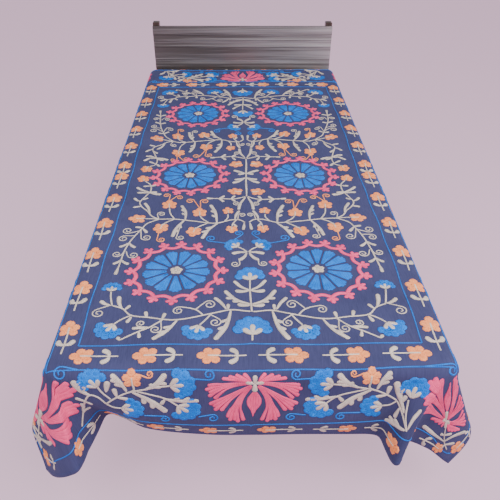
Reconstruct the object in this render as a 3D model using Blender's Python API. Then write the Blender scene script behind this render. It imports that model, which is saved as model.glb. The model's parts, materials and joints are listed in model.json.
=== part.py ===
"""A single bed with an embroidered bedspread draped over it, built in metres, +Z up.

The bedspread is one sheet of cloth. Its drape is worked out from its flat size: each line of cloth leaves
the flat top, bends over the mattress edge and hangs by its own length, slanted by the rows of the fold
tables. The foot of the bed is towards -Y and the headboard towards +Y.
"""
import math

import bpy

# Cloth, flat: an embroidered field inside three borders.
FIELD_WIDTH = 0.758
FIELD_LENGTH = 1.670
INNER_BORDER = 0.070
BROAD_BORDER = 0.170
OUTER_BORDER = 0.070
BORDERS = INNER_BORDER + BROAD_BORDER + OUTER_BORDER
CLOTH_WIDTH = FIELD_WIDTH + 2 * BORDERS
CLOTH_LENGTH = FIELD_LENGTH + 2 * BORDERS
CLOTH_THICKNESS = 0.002

# Bed, as the cloth's outer face wraps it.
BED_WIDTH = 0.894
BED_LENGTH = 2.025
TOP = 0.480
BEND = 0.030
FLAT_X = BED_WIDTH / 2 - BEND
FLAT_Y = BED_LENGTH / 2 - BEND
FIELD_FOOT_Y = -BED_LENGTH / 2 + 0.079
CLOTH_FOOT_Y = FIELD_FOOT_Y - BORDERS
SLANT_RAMP = 0.060

# Grid of the sheet: closer where the folds are. The flat top's stretches, each with its end and steps.
STRETCHES_ACROSS = [
    # end    steps
    (-0.245, 10),
    (0.290, 6),
    (FLAT_X, 9),
]
STRETCHES_ALONG = [
    (-0.700, 8),
    (0.740, 12),
    (FLAT_Y, 4),
]
STEPS_BEND = 4
STEPS_DROP = 9
STEPS_TUCK = 2
PATH_STEPS = 24

# Mattress and its carriers.
SKIN_GAP = 0.0004
EDGE_GAP = 0.007
MATTRESS_THICKNESS = 0.100
MATTRESS_EDGE = 0.027
EDGE_STEPS = 4
DECK_THICKNESS = 0.036
DECK_INSET = 0.060
DECK_EDGE = 0.006
LEG_TOP = 0.052
LEG_FOOT = 0.036
LEG_X = 0.330
LEG_FOOT_Y = -0.560
LEG_HEAD_Y = 0.620
PIECE_GAP = 0.0003

# Headboard: a ribbed panel in front of two posts that reach the floor.
PANEL_WIDTH = 0.852
PANEL_X = 0.004
PANEL_BOTTOM = 0.300
PANEL_TOP = TOP + 0.194
PANEL_FRONT_Y = BED_LENGTH / 2 + 0.008
PANEL_DEPTH = 0.016
PANEL_TAPER = 0.004
POST_WIDTH = 0.030
POST_DEPTH = 0.034
POST_TOP = TOP + 0.209
POST_CHAMFER = 0.003

# Folds of the four hanging sides, a row each: the place along the edge (m), then the slant of the
# hanging cloth per metre of drop, across the bed and along it, and how far down the drop it starts (m).
FOOT_FOLDS = [
    # place   across  along  start
    (-0.417, 0.25, -0.06, 0.05),
    (-0.384, 0.15, 0.26, 0.07),
    (-0.355, 0.08, 0.60, 0.08),
    (-0.310, 0.02, 0.64, 0.10),
    (-0.245, 0.00, 0.50, 0.13),
    (-0.100, 0.00, 0.39, 0.15),
    (0.000, 0.00, 0.36, 0.15),
    (0.120, 0.00, 0.36, 0.15),
    (0.230, 0.00, 0.34, 0.15),
    (0.295, -0.01, 0.21, 0.12),
    (0.325, -0.11, -0.10, 0.06),
    (0.357, -0.24, -0.36, 0.03),
    (0.392, -0.32, -0.34, 0.01),
    (0.417, -0.38, -0.16, 0.00),
]
LEFT_FOLDS = [
    (-0.982, -0.10, 0.26, 0.03),
    (-0.877, -0.20, 0.12, 0.05),
    (-0.717, -0.40, 0.02, 0.04),
    (-0.537, -0.10, 0.00, 0.06),
    (-0.348, -0.26, 0.00, 0.05),
    (-0.138, -0.02, 0.00, 0.08),
    (0.083, -0.22, 0.00, 0.06),
    (0.282, -0.02, 0.00, 0.08),
    (0.503, -0.18, 0.00, 0.06),
    (0.723, -0.02, 0.00, 0.08),
    (0.982, -0.02, -0.05, 0.05),
]
RIGHT_FOLDS = [
    (-0.982, 0.26, 0.16, 0.03),
    (-0.877, 0.18, 0.10, 0.05),
    (-0.737, 0.56, 0.02, 0.03),
    (-0.578, 0.22, 0.00, 0.05),
    (-0.367, 0.06, 0.00, 0.07),
    (-0.198, 0.24, 0.00, 0.05),
    (0.002, 0.00, 0.00, 0.08),
    (0.242, 0.20, 0.00, 0.06),
    (0.462, 0.02, 0.00, 0.08),
    (0.723, 0.16, 0.00, 0.06),
    (0.982, 0.02, -0.05, 0.05),
]
HEAD_FOLDS = [
    (-0.417, 0.00, 0.00, 0.05),
    (0.417, 0.00, 0.00, 0.05),
]

# Folds of the four corners, a row each: the turn from the bed's side (0) to its end (90), in degrees, then
# the same three columns. The spare cloth of a corner hangs in a loose cone, called an ear.
FOOT_LEFT_EAR = [
    # turn  across  along  start
    (0, -0.10, 0.26, 0.03),
    (14, -0.32, 0.38, 0.02),
    (29, -0.38, 0.28, 0.02),
    (43, -0.20, 0.06, 0.02),
    (52, -0.10, -0.12, 0.03),
    (60, -0.01, -0.24, 0.03),
    (67, 0.10, -0.31, 0.03),
    (75, 0.20, -0.34, 0.03),
    (82, 0.24, -0.25, 0.04),
    (90, 0.25, -0.06, 0.05),
]
FOOT_RIGHT_EAR = [
    (0, 0.26, 0.16, 0.03),
    (15, 0.40, 0.20, 0.03),
    (30, 0.37, 0.11, 0.03),
    (45, 0.14, 0.05, 0.03),
    (58, -0.03, 0.06, 0.04),
    (70, -0.25, 0.06, 0.03),
    (80, -0.35, -0.02, 0.01),
    (90, -0.38, -0.16, 0.00),
]
HEAD_LEFT_EAR = [
    (0, -0.02, -0.05, 0.05),
    (15, -0.20, -0.16, 0.03),
    (30, -0.26, 0.00, 0.03),
    (50, -0.10, 0.04, 0.03),
    (90, 0.00, 0.00, 0.05),
]
HEAD_RIGHT_EAR = [
    (0, 0.02, -0.05, 0.05),
    (15, 0.20, -0.16, 0.03),
    (30, 0.26, 0.00, 0.03),
    (50, 0.10, 0.04, 0.03),
    (90, 0.00, 0.00, 0.05),
]

# Ribs of the panel from its top edge down: the height of each band (m) and how far it stands proud (m).
PANEL_BANDS = [
    # height  proud
    (0.006, 0.0020),
    (0.016, 0.0060),
    (0.010, 0.0030),
    (0.005, 0.0065),
    (0.012, 0.0025),
    (0.005, 0.0065),
    (0.034, 0.0050),
    (0.008, 0.0020),
    (0.014, 0.0060),
    (0.008, 0.0020),
    (0.010, 0.0060),
    (0.008, 0.0020),
    (0.012, 0.0065),
    (0.010, 0.0025),
    (0.014, 0.0065),
    (0.010, 0.0020),
    (0.016, 0.0060),
    (0.012, 0.0030),
]
BAND_SLOPE = 0.0015


def between(rows, place):
    """Read a fold table at one place, smoothly from row to row. Returns its three slant columns."""
    place = min(max(place, rows[0][0]), rows[-1][0])
    k = 0
    while k < len(rows) - 2 and place > rows[k + 1][0]:
        k += 1
    last = len(rows) - 2
    span = rows[k + 1][0] - rows[k][0]
    f = (place - rows[k][0]) / span
    out = []
    for column in (1, 2, 3):
        low, high = rows[k][column], rows[k + 1][column]
        slope_in, slope_out = high - low, high - low
        if k > 0:
            slope_in = (high - rows[k - 1][column]) / (rows[k + 1][0] - rows[k - 1][0]) * span
        if k < last:
            slope_out = (rows[k + 2][column] - low) / (rows[k + 2][0] - rows[k][0]) * span
        out.append((2 * f**3 - 3 * f**2 + 1) * low + (f**3 - 2 * f**2 + f) * slope_in
                   + (3 * f**2 - 2 * f**3) * high + (f**3 - f**2) * slope_out)
    return out


def folds_at(x, y, dx, dy):
    """The slant of the cloth that hangs from the flat's edge at x, y and lies dx, dy beyond it."""
    if dx and dy:
        turn = math.degrees(math.atan2(abs(dy), abs(dx)))
        if dy < 0:
            return between(FOOT_LEFT_EAR if dx < 0 else FOOT_RIGHT_EAR, turn)
        return between(HEAD_LEFT_EAR if dx < 0 else HEAD_RIGHT_EAR, turn)
    if dx:
        return between(LEFT_FOLDS if dx < 0 else RIGHT_FOLDS, y)
    return between(FOOT_FOLDS if dy < 0 else HEAD_FOLDS, x)


def swell(x, y):
    """Height of the soft unevenness of the flat top, with the crease down the middle."""
    waves = 0.0015 * (1 + math.sin(5.1 * x + 2.3 * y) * math.sin(3.7 * y + 0.6))
    return waves + 0.0015 * math.exp(-(x / 0.012) ** 2)


def cloth_point(across, along):
    """Where a point of the flat cloth lies in the drape: across from its middle line, along from its foot hem."""
    x, y = across, CLOTH_FOOT_Y + along
    edge_x = min(max(x, -FLAT_X), FLAT_X)
    edge_y = min(max(y, -FLAT_Y), FLAT_Y)
    dx, dy = x - edge_x, y - edge_y
    reach = math.hypot(dx, dy)
    if reach < 1e-9:
        return x, y, TOP + swell(x, y)
    slant_x, slant_y, start = folds_at(edge_x, edge_y, dx, dy)
    px, py = edge_x, edge_y
    pz = TOP + swell(px, py) * max(0.0, 1 - reach / 0.04)
    step = reach / PATH_STEPS
    for k in range(PATH_STEPS):
        at = (k + 0.5) * step
        angle = min(at / BEND, math.pi / 2)
        grow = min(max((at - start) / SLANT_RAMP, 0.0), 1.0)
        grow *= grow * (3 - 2 * grow)
        vx = dx / reach * math.cos(angle) + slant_x * grow
        vy = dy / reach * math.cos(angle) + slant_y * grow
        vz = -math.sin(angle)
        size = math.sqrt(vx * vx + vy * vy + vz * vz)
        px += vx / size * step
        py += vy / size * step
        pz += vz / size * step
    return px, py, pz


def spread(low, high, steps):
    """Even steps from low to high, without high itself."""
    return [low + (high - low) * k / steps for k in range(steps)]


def stretches(start, table):
    """Grid lines over the stretches of a table, from its start up to but not at its last end."""
    lines = []
    for end, steps in table:
        lines += spread(start, end, steps)
        start = end
    return lines


def grid_lines():
    """The cloth's grid lines: across from its middle line, and along from its foot hem."""
    side = CLOTH_WIDTH / 2
    foot = -FLAT_Y - CLOTH_FOOT_Y
    head = FLAT_Y - CLOTH_FOOT_Y
    arc = BEND * math.pi / 2
    right = spread(FLAT_X, FLAT_X + arc, STEPS_BEND) + spread(FLAT_X + arc, side, STEPS_DROP) + [side]
    across = [-s for s in right[::-1]] + stretches(-FLAT_X, STRETCHES_ACROSS)[1:] + right
    along = (spread(0.0, foot - arc, STEPS_DROP) + spread(foot - arc, foot, STEPS_BEND)
             + [y - CLOTH_FOOT_Y for y in stretches(-FLAT_Y, STRETCHES_ALONG)]
             + spread(head, head + arc, STEPS_BEND) + spread(head + arc, CLOTH_LENGTH, STEPS_TUCK)
             + [CLOTH_LENGTH])
    return across, along


def cloth_normal(across, along):
    """The cloth's outward normal, from four neighbouring points."""
    h = 0.004
    a, b = cloth_point(across - h, along), cloth_point(across + h, along)
    c, d = cloth_point(across, along - h), cloth_point(across, along + h)
    u = [b[k] - a[k] for k in range(3)]
    v = [d[k] - c[k] for k in range(3)]
    n = (u[1] * v[2] - u[2] * v[1], u[2] * v[0] - u[0] * v[2], u[0] * v[1] - u[1] * v[0])
    size = math.sqrt(sum(w * w for w in n))
    return [w / size for w in n]


def make_mesh(name, verts, faces, colour, roughness, smooth=False, metallic=0.0):
    """Make one mesh object with one Principled material."""
    mesh = bpy.data.meshes.new(name)
    mesh.from_pydata(verts, [], faces)
    mesh.update()
    for polygon in mesh.polygons:
        polygon.use_smooth = smooth
    material = bpy.data.materials.new(name)
    material.use_nodes = True
    shader = material.node_tree.nodes["Principled BSDF"]
    shader.inputs["Base Color"].default_value = (*colour, 1.0)
    shader.inputs["Roughness"].default_value = roughness
    shader.inputs["Metallic"].default_value = metallic
    mesh.materials.append(material)
    piece = bpy.data.objects.new(name, mesh)
    bpy.context.scene.collection.objects.link(piece)
    return piece


def bedspread():
    """The cloth: its grid laid into the drape, an inner face one thickness below, and the hem between."""
    across, along = grid_lines()
    nx, ny = len(across), len(along)
    outer = [cloth_point(s, t) for t in along for s in across]
    inner = []
    for index, point in enumerate(outer):
        normal = cloth_normal(across[index % nx], along[index // nx])
        inner.append(tuple(point[k] - CLOTH_THICKNESS * normal[k] for k in range(3)))
    count = nx * ny
    faces = []
    for j in range(ny - 1):
        for i in range(nx - 1):
            a = j * nx + i
            faces.append((a, a + 1, a + nx + 1, a + nx))
            faces.append((count + a, count + a + nx, count + a + nx + 1, count + a + 1))
    rim = list(range(nx)) + [j * nx + nx - 1 for j in range(1, ny)]
    rim += list(range(count - 2, count - nx - 1, -1)) + [j * nx for j in range(ny - 2, 0, -1)]
    for k, a in enumerate(rim):
        b = rim[(k + 1) % len(rim)]
        faces.append((b, a, count + a, count + b))
    return make_mesh("bedspread", outer + inner, faces, (0.07, 0.08, 0.24), 0.9, smooth=True)


def ring(half_x, half_y, corner, z):
    """One level outline of a block with round upright corners, as points from the +X side round."""
    points = []
    for quarter in range(4):
        sx, sy = ((1, 1), (-1, 1), (-1, -1), (1, -1))[quarter]
        for k in range(EDGE_STEPS + 1):
            turn = math.pi / 2 * (quarter + k / EDGE_STEPS)
            points.append((sx * (half_x - corner) + corner * math.cos(turn),
                           sy * (half_y - corner) + corner * math.sin(turn), z))
    return points


def loft(name, rings, colour, roughness, smooth=False):
    """A closed solid through level outlines of equal point count, from the lowest up."""
    size = len(rings[0])
    verts = [point for level in rings for point in level]
    faces = [tuple(range(size - 1, -1, -1))]
    for level in range(len(rings) - 1):
        base = level * size
        for k in range(size):
            m = (k + 1) % size
            faces.append((base + k, base + m, base + size + m, base + size + k))
    faces.append(tuple((len(rings) - 1) * size + k for k in range(size)))
    return make_mesh(name, verts, faces, colour, roughness, smooth)


def rounded_block(name, half_x, half_y, bottom, top, edge, colour, roughness, smooth):
    """A block with all its edges rounded to one radius."""
    rings = []
    for sign, level in ((-1, bottom + edge), (1, top - edge)):
        for k in range(EDGE_STEPS + 1):
            rise = math.pi / 2 * (k / EDGE_STEPS if sign > 0 else 1 - k / EDGE_STEPS)
            pull = edge * (1 - math.cos(rise))
            rings.append(ring(half_x - pull, half_y - pull, max(edge - pull, 0.0004),
                              level + sign * edge * math.sin(rise)))
    return loft(name, rings, colour, roughness, smooth)


def mattress():
    """The mattress, clear of the cloth by a hair on top and by the edge gap all round."""
    top = TOP - CLOTH_THICKNESS - SKIN_GAP
    return rounded_block("mattress", BED_WIDTH / 2 - CLOTH_THICKNESS - EDGE_GAP,
                         BED_LENGTH / 2 - CLOTH_THICKNESS - EDGE_GAP, top - MATTRESS_THICKNESS, top,
                         MATTRESS_EDGE, (0.78, 0.75, 0.68), 0.9, True)


def deck_levels():
    """Underside and top of the deck."""
    top = TOP - CLOTH_THICKNESS - SKIN_GAP - MATTRESS_THICKNESS - PIECE_GAP
    return top - DECK_THICKNESS, top


def deck():
    """The board under the mattress, set in from its edges."""
    low, high = deck_levels()
    return rounded_block("deck", BED_WIDTH / 2 - DECK_INSET, BED_LENGTH / 2 - DECK_INSET, low, high,
                         DECK_EDGE, (0.25, 0.14, 0.08), 0.6, False)


def leg(name, x, y):
    """A square leg from the floor to the deck, slimmer at the floor."""
    top = deck_levels()[0] - PIECE_GAP
    rings = []
    for half, z in ((LEG_FOOT / 2, 0.0), (LEG_TOP / 2, top - 0.060), (LEG_TOP / 2, top)):
        rings.append([(x + half, y + half, z), (x - half, y + half, z),
                      (x - half, y - half, z), (x + half, y - half, z)])
    return loft(name, rings, (0.20, 0.11, 0.07), 0.6)


def panel_profile():
    """Depth and height of the panel's ribbed front, from its foot up, as pairs (proud, z)."""
    total = sum(height for height, _ in PANEL_BANDS)
    scale = (PANEL_TOP - PANEL_BOTTOM) / total
    z = PANEL_TOP
    profile = []
    for height, proud in PANEL_BANDS:
        low = z - height * scale
        profile.append((proud, z - BAND_SLOPE))
        profile.append((proud, low + BAND_SLOPE))
        z = low
    profile[0] = (PANEL_BANDS[0][1], PANEL_TOP)
    profile[-1] = (PANEL_BANDS[-1][1], PANEL_BOTTOM)
    return profile[::-1]


def headboard():
    """The panel: its ribbed profile run from side to side, a little narrower at its foot."""
    profile = panel_profile()
    back = PANEL_FRONT_Y + PANEL_DEPTH
    outline = [(PANEL_FRONT_Y + 0.0065 - proud, z) for proud, z in profile]
    outline += [(back, PANEL_TOP), (back, PANEL_BOTTOM)]
    verts = []
    for side in (-1, 1):
        for y, z in outline:
            narrow = PANEL_TAPER * (PANEL_TOP - z) / (PANEL_TOP - PANEL_BOTTOM)
            verts.append((PANEL_X + side * (PANEL_WIDTH / 2 - narrow), y, z))
    size = len(outline)
    faces = [tuple(range(size)), tuple(2 * size - 1 - k for k in range(size))]
    for k in range(size):
        m = (k + 1) % size
        faces.append((m, k, size + k, size + m))
    return make_mesh("headboard", verts, faces, (0.42, 0.40, 0.40), 0.35, metallic=0.8)


def post(name, side):
    """An upright behind one end of the panel, from the floor to just above the panel."""
    x = PANEL_X + side * (PANEL_WIDTH / 2 - PANEL_TAPER - POST_WIDTH / 2 + 0.003)
    y = PANEL_FRONT_Y + PANEL_DEPTH + PIECE_GAP + POST_DEPTH / 2
    rings = []
    for trim, z in ((0.0, 0.0), (0.0, POST_TOP - POST_CHAMFER), (POST_CHAMFER, POST_TOP)):
        half_x, half_y = POST_WIDTH / 2 - trim, POST_DEPTH / 2 - trim
        rings.append([(x + half_x, y + half_y, z), (x - half_x, y + half_y, z),
                      (x - half_x, y - half_y, z), (x + half_x, y - half_y, z)])
    return loft(name, rings, (0.09, 0.05, 0.04), 0.5)


def centre(pieces):
    """Shift every piece so that the whole stands centred over the origin."""
    for axis in (0, 1):
        values = [vertex.co[axis] for piece in pieces for vertex in piece.data.vertices]
        middle = (min(values) + max(values)) / 2
        for piece in pieces:
            for vertex in piece.data.vertices:
                vertex.co[axis] -= middle
    for piece in pieces:
        piece.data.update()


def build():
    for old in list(bpy.data.objects):
        bpy.data.objects.remove(old, do_unlink=True)
    pieces = [bedspread(), mattress(), deck(), headboard()]
    pieces += [post("post_left", -1), post("post_right", 1)]
    pieces += [leg("leg_foot_left", -LEG_X, LEG_FOOT_Y), leg("leg_foot_right", LEG_X, LEG_FOOT_Y)]
    pieces += [leg("leg_head_left", -LEG_X, LEG_HEAD_Y), leg("leg_head_right", LEG_X, LEG_HEAD_Y)]
    centre(pieces)


build()
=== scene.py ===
"""Looks of a suzani bedspread that lies over a plain single bed.

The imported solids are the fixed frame. The bedspread's solid is replaced by a finer sheet on the same folds.
Its chain-stitch embroidery is thread on that sheet, so it is raised rows of stitches, one joined mesh for
each thread colour. The flowers, leaves, medallions and palmettes are ordinary suzani motifs, drawn here from
short tables of places and sizes. The bed's own solids keep their shape and get their finishes.

Lengths are in metres, and the motif tables are in millimetres of flat cloth. On the flat cloth x runs across
from its middle line and y along it, with y growing towards the headboard.
"""

import logging
import math
import json
from dataclasses import dataclass, field
from enum import Enum
from typing import ClassVar

import bpy
import numpy as np
from mathutils import Matrix, Vector

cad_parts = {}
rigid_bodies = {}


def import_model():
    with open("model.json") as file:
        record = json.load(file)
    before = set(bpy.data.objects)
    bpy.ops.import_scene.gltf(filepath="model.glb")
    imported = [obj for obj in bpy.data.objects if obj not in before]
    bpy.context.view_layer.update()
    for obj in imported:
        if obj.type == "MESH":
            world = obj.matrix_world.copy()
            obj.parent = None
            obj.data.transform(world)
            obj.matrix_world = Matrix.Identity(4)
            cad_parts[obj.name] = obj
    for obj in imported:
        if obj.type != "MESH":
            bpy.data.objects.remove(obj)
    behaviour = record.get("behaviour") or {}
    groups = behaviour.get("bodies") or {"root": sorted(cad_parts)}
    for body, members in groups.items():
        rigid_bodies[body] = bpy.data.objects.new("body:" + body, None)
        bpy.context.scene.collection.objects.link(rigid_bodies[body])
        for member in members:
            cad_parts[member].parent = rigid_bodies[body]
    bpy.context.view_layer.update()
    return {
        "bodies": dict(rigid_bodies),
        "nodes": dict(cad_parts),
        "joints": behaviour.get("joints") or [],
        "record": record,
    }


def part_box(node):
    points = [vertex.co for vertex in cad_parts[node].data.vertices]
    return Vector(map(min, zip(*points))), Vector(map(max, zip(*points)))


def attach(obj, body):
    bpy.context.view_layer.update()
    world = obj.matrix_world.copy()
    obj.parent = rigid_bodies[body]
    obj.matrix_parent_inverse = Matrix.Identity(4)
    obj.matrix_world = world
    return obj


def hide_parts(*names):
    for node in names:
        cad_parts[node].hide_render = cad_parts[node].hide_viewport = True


logging.basicConfig(level=logging.INFO, format="%(message)s")
LOG = logging.getLogger("bedspread")

MM = 0.001


class Thread(Enum):
    """The thread colours of the embroidery. Each value names the piece made of it."""

    SAND = "sand_stitches"
    BLUE = "blue_stitches"
    PINK = "pink_stitches"
    ORANGE = "orange_stitches"


class Profile(Enum):
    """How a row of stitches widens along its length: pairs of share of length and share of width."""

    LINE = ((0.0, 0.95), (1.0, 0.95))
    CLUB = ((0.0, 0.42), (0.30, 0.72), (0.65, 1.0), (1.0, 0.96))
    WEDGE = ((0.0, 0.30), (1.0, 1.0))
    DROP = ((0.0, 0.25), (0.45, 1.0), (0.7, 0.9), (1.0, 0.3))
    FAN = ((0.0, 0.2), (0.38, 0.3), (0.65, 0.5), (0.85, 0.78), (1.0, 1.0))


# Small tools


def linear(hex_colour: str) -> tuple[float, float, float, float]:
    """Turn an sRGB hex colour into the linear colour that a shader takes.

    Args:
        hex_colour: six hex digits.

    Returns:
        Red, green, blue and a full alpha, linear.
    """
    parts = [int(hex_colour[k : k + 2], 16) / 255 for k in (0, 2, 4)]
    lin = [c / 12.92 if c <= 0.04045 else ((c + 0.055) / 1.055) ** 2.4 for c in parts]
    return (lin[0], lin[1], lin[2], 1.0)


def add_node(tree: bpy.types.NodeTree, kind: str, inputs: dict | None = None, **settings) -> bpy.types.Node:
    """Add a node with its settings, values and links.

    Args:
        tree: the tree that gets the node.
        kind: the node's type name.
        inputs: input socket, by name or number, to a value or to the socket that feeds it.
        settings: the node's own properties.

    Returns:
        The node.
    """
    node = tree.nodes.new(kind)
    for name, value in settings.items():
        setattr(node, name, value)
    for name, value in (inputs or {}).items():
        if isinstance(value, bpy.types.NodeSocket):
            tree.links.new(value, node.inputs[name])
        else:
            node.inputs[name].default_value = value
    return node


def smooth(points: np.ndarray, per_span: int = 6) -> np.ndarray:
    """Run a soft curve through control points.

    Args:
        points: the control points, one a row.
        per_span: steps between two control points.

    Returns:
        Points on the curve, with the first and last control points at its ends.
    """
    p = np.asarray(points, float)
    share = np.linspace(0, 1, per_span, endpoint=False)[:, None]
    if len(p) == 2:
        return np.vstack([p[0] * (1 - share) + p[1] * share, p[1:]])
    q = np.vstack([2 * p[0] - p[1], p, 2 * p[-1] - p[-2]])
    spans = []
    for k in range(len(p) - 1):
        a, b, c, d = q[k : k + 4]
        cubic = (3 * b - a - 3 * c + d) * share**3
        spans.append(0.5 * (2 * b + (c - a) * share + (2 * a - 5 * b + 4 * c - d) * share**2 + cubic))
    return np.vstack([*spans, p[-1:]])


def ray(degrees: float, length: float = 1.0) -> np.ndarray:
    """A vector of that length in that direction, in degrees from the x axis."""
    return length * np.array([math.cos(math.radians(degrees)), math.sin(math.radians(degrees))])


def make_piece(name: str, verts: np.ndarray, faces: list, uv: np.ndarray, uv_name: str) -> bpy.types.Object:
    """Make a smooth mesh object with one UV map, given for each vertex.

    Args:
        name: the piece's name.
        verts: one point a row.
        faces: vertex numbers of each face, outwards by the right hand.
        uv: one UV pair for each vertex.
        uv_name: the UV map's name.

    Returns:
        The object, linked to the scene.
    """
    mesh = bpy.data.meshes.new(name)
    mesh.from_pydata(verts.tolist(), [], faces)
    mesh.update()
    mesh.polygons.foreach_set("use_smooth", np.ones(len(mesh.polygons), bool))
    corners = np.empty(len(mesh.loops), np.int32)
    mesh.loops.foreach_get("vertex_index", corners)
    mesh.uv_layers.new(name=uv_name).data.foreach_set("uv", uv[corners].astype(np.float32).ravel())
    piece = bpy.data.objects.new(name, mesh)
    bpy.context.scene.collection.objects.link(piece)
    return piece


# Finishes


@dataclass(frozen=True)
class CottonCloth:
    """Plain-woven navy cotton: a matt, slightly slubby cloth whose faces catch a little soft light."""

    dark: str = "262748"
    light: str = "42436C"
    thread_mm: float = 1.6  # real threads are about 0.4 mm; drawn this coarse so that they show
    name: str = "navy_plain_woven_cotton"

    def build(self) -> bpy.types.Material:
        """Build the material.

        Returns:
            A material that reads the cloth's own UV map, in metres.
        """
        material = bpy.data.materials.new(self.name)
        material.use_nodes = True
        tree = material.node_tree
        shader = tree.nodes["Principled BSDF"]
        place = add_node(tree, "ShaderNodeUVMap", uv_map="cloth").outputs[0]
        warp, weft = [
            add_node(
                tree,
                "ShaderNodeTexWave",
                {
                    "Vector": place,
                    "Scale": 1 / (self.thread_mm * MM) / 6.283 * 2,  # a wave is 2 pi long
                    "Distortion": 0.6,
                    "Detail": 1.0,
                },
                bands_direction=way,
            ).outputs["Fac"]
            for way in ("X", "Y")
        ]
        weave = add_node(tree, "ShaderNodeMath", {0: warp, 1: weft}, operation="MULTIPLY").outputs[0]
        slub_place = add_node(
            tree, "ShaderNodeMapping", {"Vector": place, "Scale": (420.0, 30.0, 1.0)}
        ).outputs[0]
        slub = add_node(
            tree, "ShaderNodeTexNoise", {"Vector": slub_place, "Scale": 1.0, "Detail": 2.0}
        ).outputs["Fac"]
        cloud = add_node(
            tree, "ShaderNodeTexNoise", {"Vector": place, "Scale": 7.0, "Detail": 4.0}
        ).outputs["Fac"]
        mixed = add_node(tree, "ShaderNodeMath", {0: slub, 1: cloud}, operation="ADD").outputs[0]
        toned = add_node(
            tree, "ShaderNodeMath", {0: weave, 1: 0.5, 2: mixed}, operation="MULTIPLY_ADD"
        ).outputs[0]
        share = add_node(
            tree, "ShaderNodeMapRange", {"Value": toned, "From Min": 0.55, "From Max": 1.75}
        ).outputs["Result"]
        colour = add_node(
            tree,
            "ShaderNodeMix",
            {"Factor": share, 6: linear(self.dark), 7: linear(self.light)},
            data_type="RGBA",
        ).outputs[2]
        tree.links.new(colour, shader.inputs["Base Color"])
        bump = add_node(
            tree, "ShaderNodeBump", {"Height": toned, "Strength": 0.35, "Distance": 0.0006}
        ).outputs["Normal"]
        tree.links.new(bump, shader.inputs["Normal"])
        shader.inputs["Roughness"].default_value = 0.88
        shader.inputs["Sheen Weight"].default_value = 0.14
        shader.inputs["Sheen Roughness"].default_value = 0.5
        shader.inputs["Sheen Tint"].default_value = linear("8C94C8")
        shader.inputs["Specular IOR Level"].default_value = 0.3
        return material


@dataclass(frozen=True)
class StitchThread:
    """Twisted embroidery cotton worked in chain stitch, with a little soft sheen; its colour is painted
    lighter on each loop and darker between the rows, as painted highlight and painted shade.
    """

    name: str
    dark: str
    light: str
    row_mm: float = 2.5  # width of one row of chain stitch
    loop_mm: float = 4.0  # length of one loop
    sheen: float = 0.03

    def build(self) -> bpy.types.Material:
        """Build the material.

        Returns:
            A material that reads the stitches' own UV map: metres along the row and metres from its middle.
        """
        material = bpy.data.materials.new(self.name)
        material.use_nodes = True
        tree = material.node_tree
        shader = tree.nodes["Principled BSDF"]
        place = add_node(tree, "ShaderNodeUVMap", uv_map="stitch").outputs[0]
        parts = add_node(tree, "ShaderNodeSeparateXYZ", {0: place})
        across = add_node(
            tree, "ShaderNodeMath", {
                0: parts.outputs["Y"], 1: math.pi / (self.row_mm * MM)
            }, operation="MULTIPLY"
        ).outputs[0]
        wave = add_node(tree, "ShaderNodeMath", {0: across}, operation="SINE").outputs[0]
        row = add_node(tree, "ShaderNodeMath", {0: wave}, operation="ABSOLUTE").outputs[0]
        along = add_node(
            tree,
            "ShaderNodeMath",
            {0: parts.outputs["X"], 1: 2 * math.pi / (self.loop_mm * MM)},
            operation="MULTIPLY",
        ).outputs[0]
        slanted = add_node(
            tree, "ShaderNodeMath", {0: row, 1: 2.2, 2: along}, operation="MULTIPLY_ADD"
        ).outputs[0]
        loop = add_node(tree, "ShaderNodeMath", {0: slanted}, operation="SINE").outputs[0]
        relief_and_painted_shade = add_node(
            tree, "ShaderNodeMath", {0: loop, 1: 0.22, 2: row}, operation="MULTIPLY_ADD"
        ).outputs[0]
        body = add_node(tree, "ShaderNodeTexCoord").outputs["Object"]
        patch = add_node(
            tree, "ShaderNodeTexNoise", {"Vector": body, "Scale": 38.0, "Detail": 3.0}
        ).outputs["Fac"]
        # painted shade and highlight: the thread's colour follows the stitch relief, darker between the rows
        # and lighter on the loops
        toned = add_node(
            tree, "ShaderNodeMath", {0: patch, 1: 1.3, 2: relief_and_painted_shade}, operation="MULTIPLY_ADD"
        ).outputs[0]
        share = add_node(
            tree, "ShaderNodeMapRange", {"Value": toned, "From Min": 0.45, "From Max": 1.75}
        ).outputs["Result"]
        colour = add_node(
            tree,
            "ShaderNodeMix",
            {"Factor": share, 6: linear(self.dark), 7: linear(self.light)},
            data_type="RGBA",
        ).outputs[2]
        tree.links.new(colour, shader.inputs["Base Color"])
        bump = add_node(
            tree, "ShaderNodeBump", {"Height": relief_and_painted_shade, "Strength": 0.5, "Distance": 0.0007}
        ).outputs["Normal"]
        tree.links.new(bump, shader.inputs["Normal"])
        shader.inputs["Roughness"].default_value = 0.72
        shader.inputs["Sheen Weight"].default_value = self.sheen
        shader.inputs["Sheen Roughness"].default_value = 0.4
        shader.inputs["Sheen Tint"].default_value = linear(self.light)
        shader.inputs["Specular IOR Level"].default_value = 0.2
        return material


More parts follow.
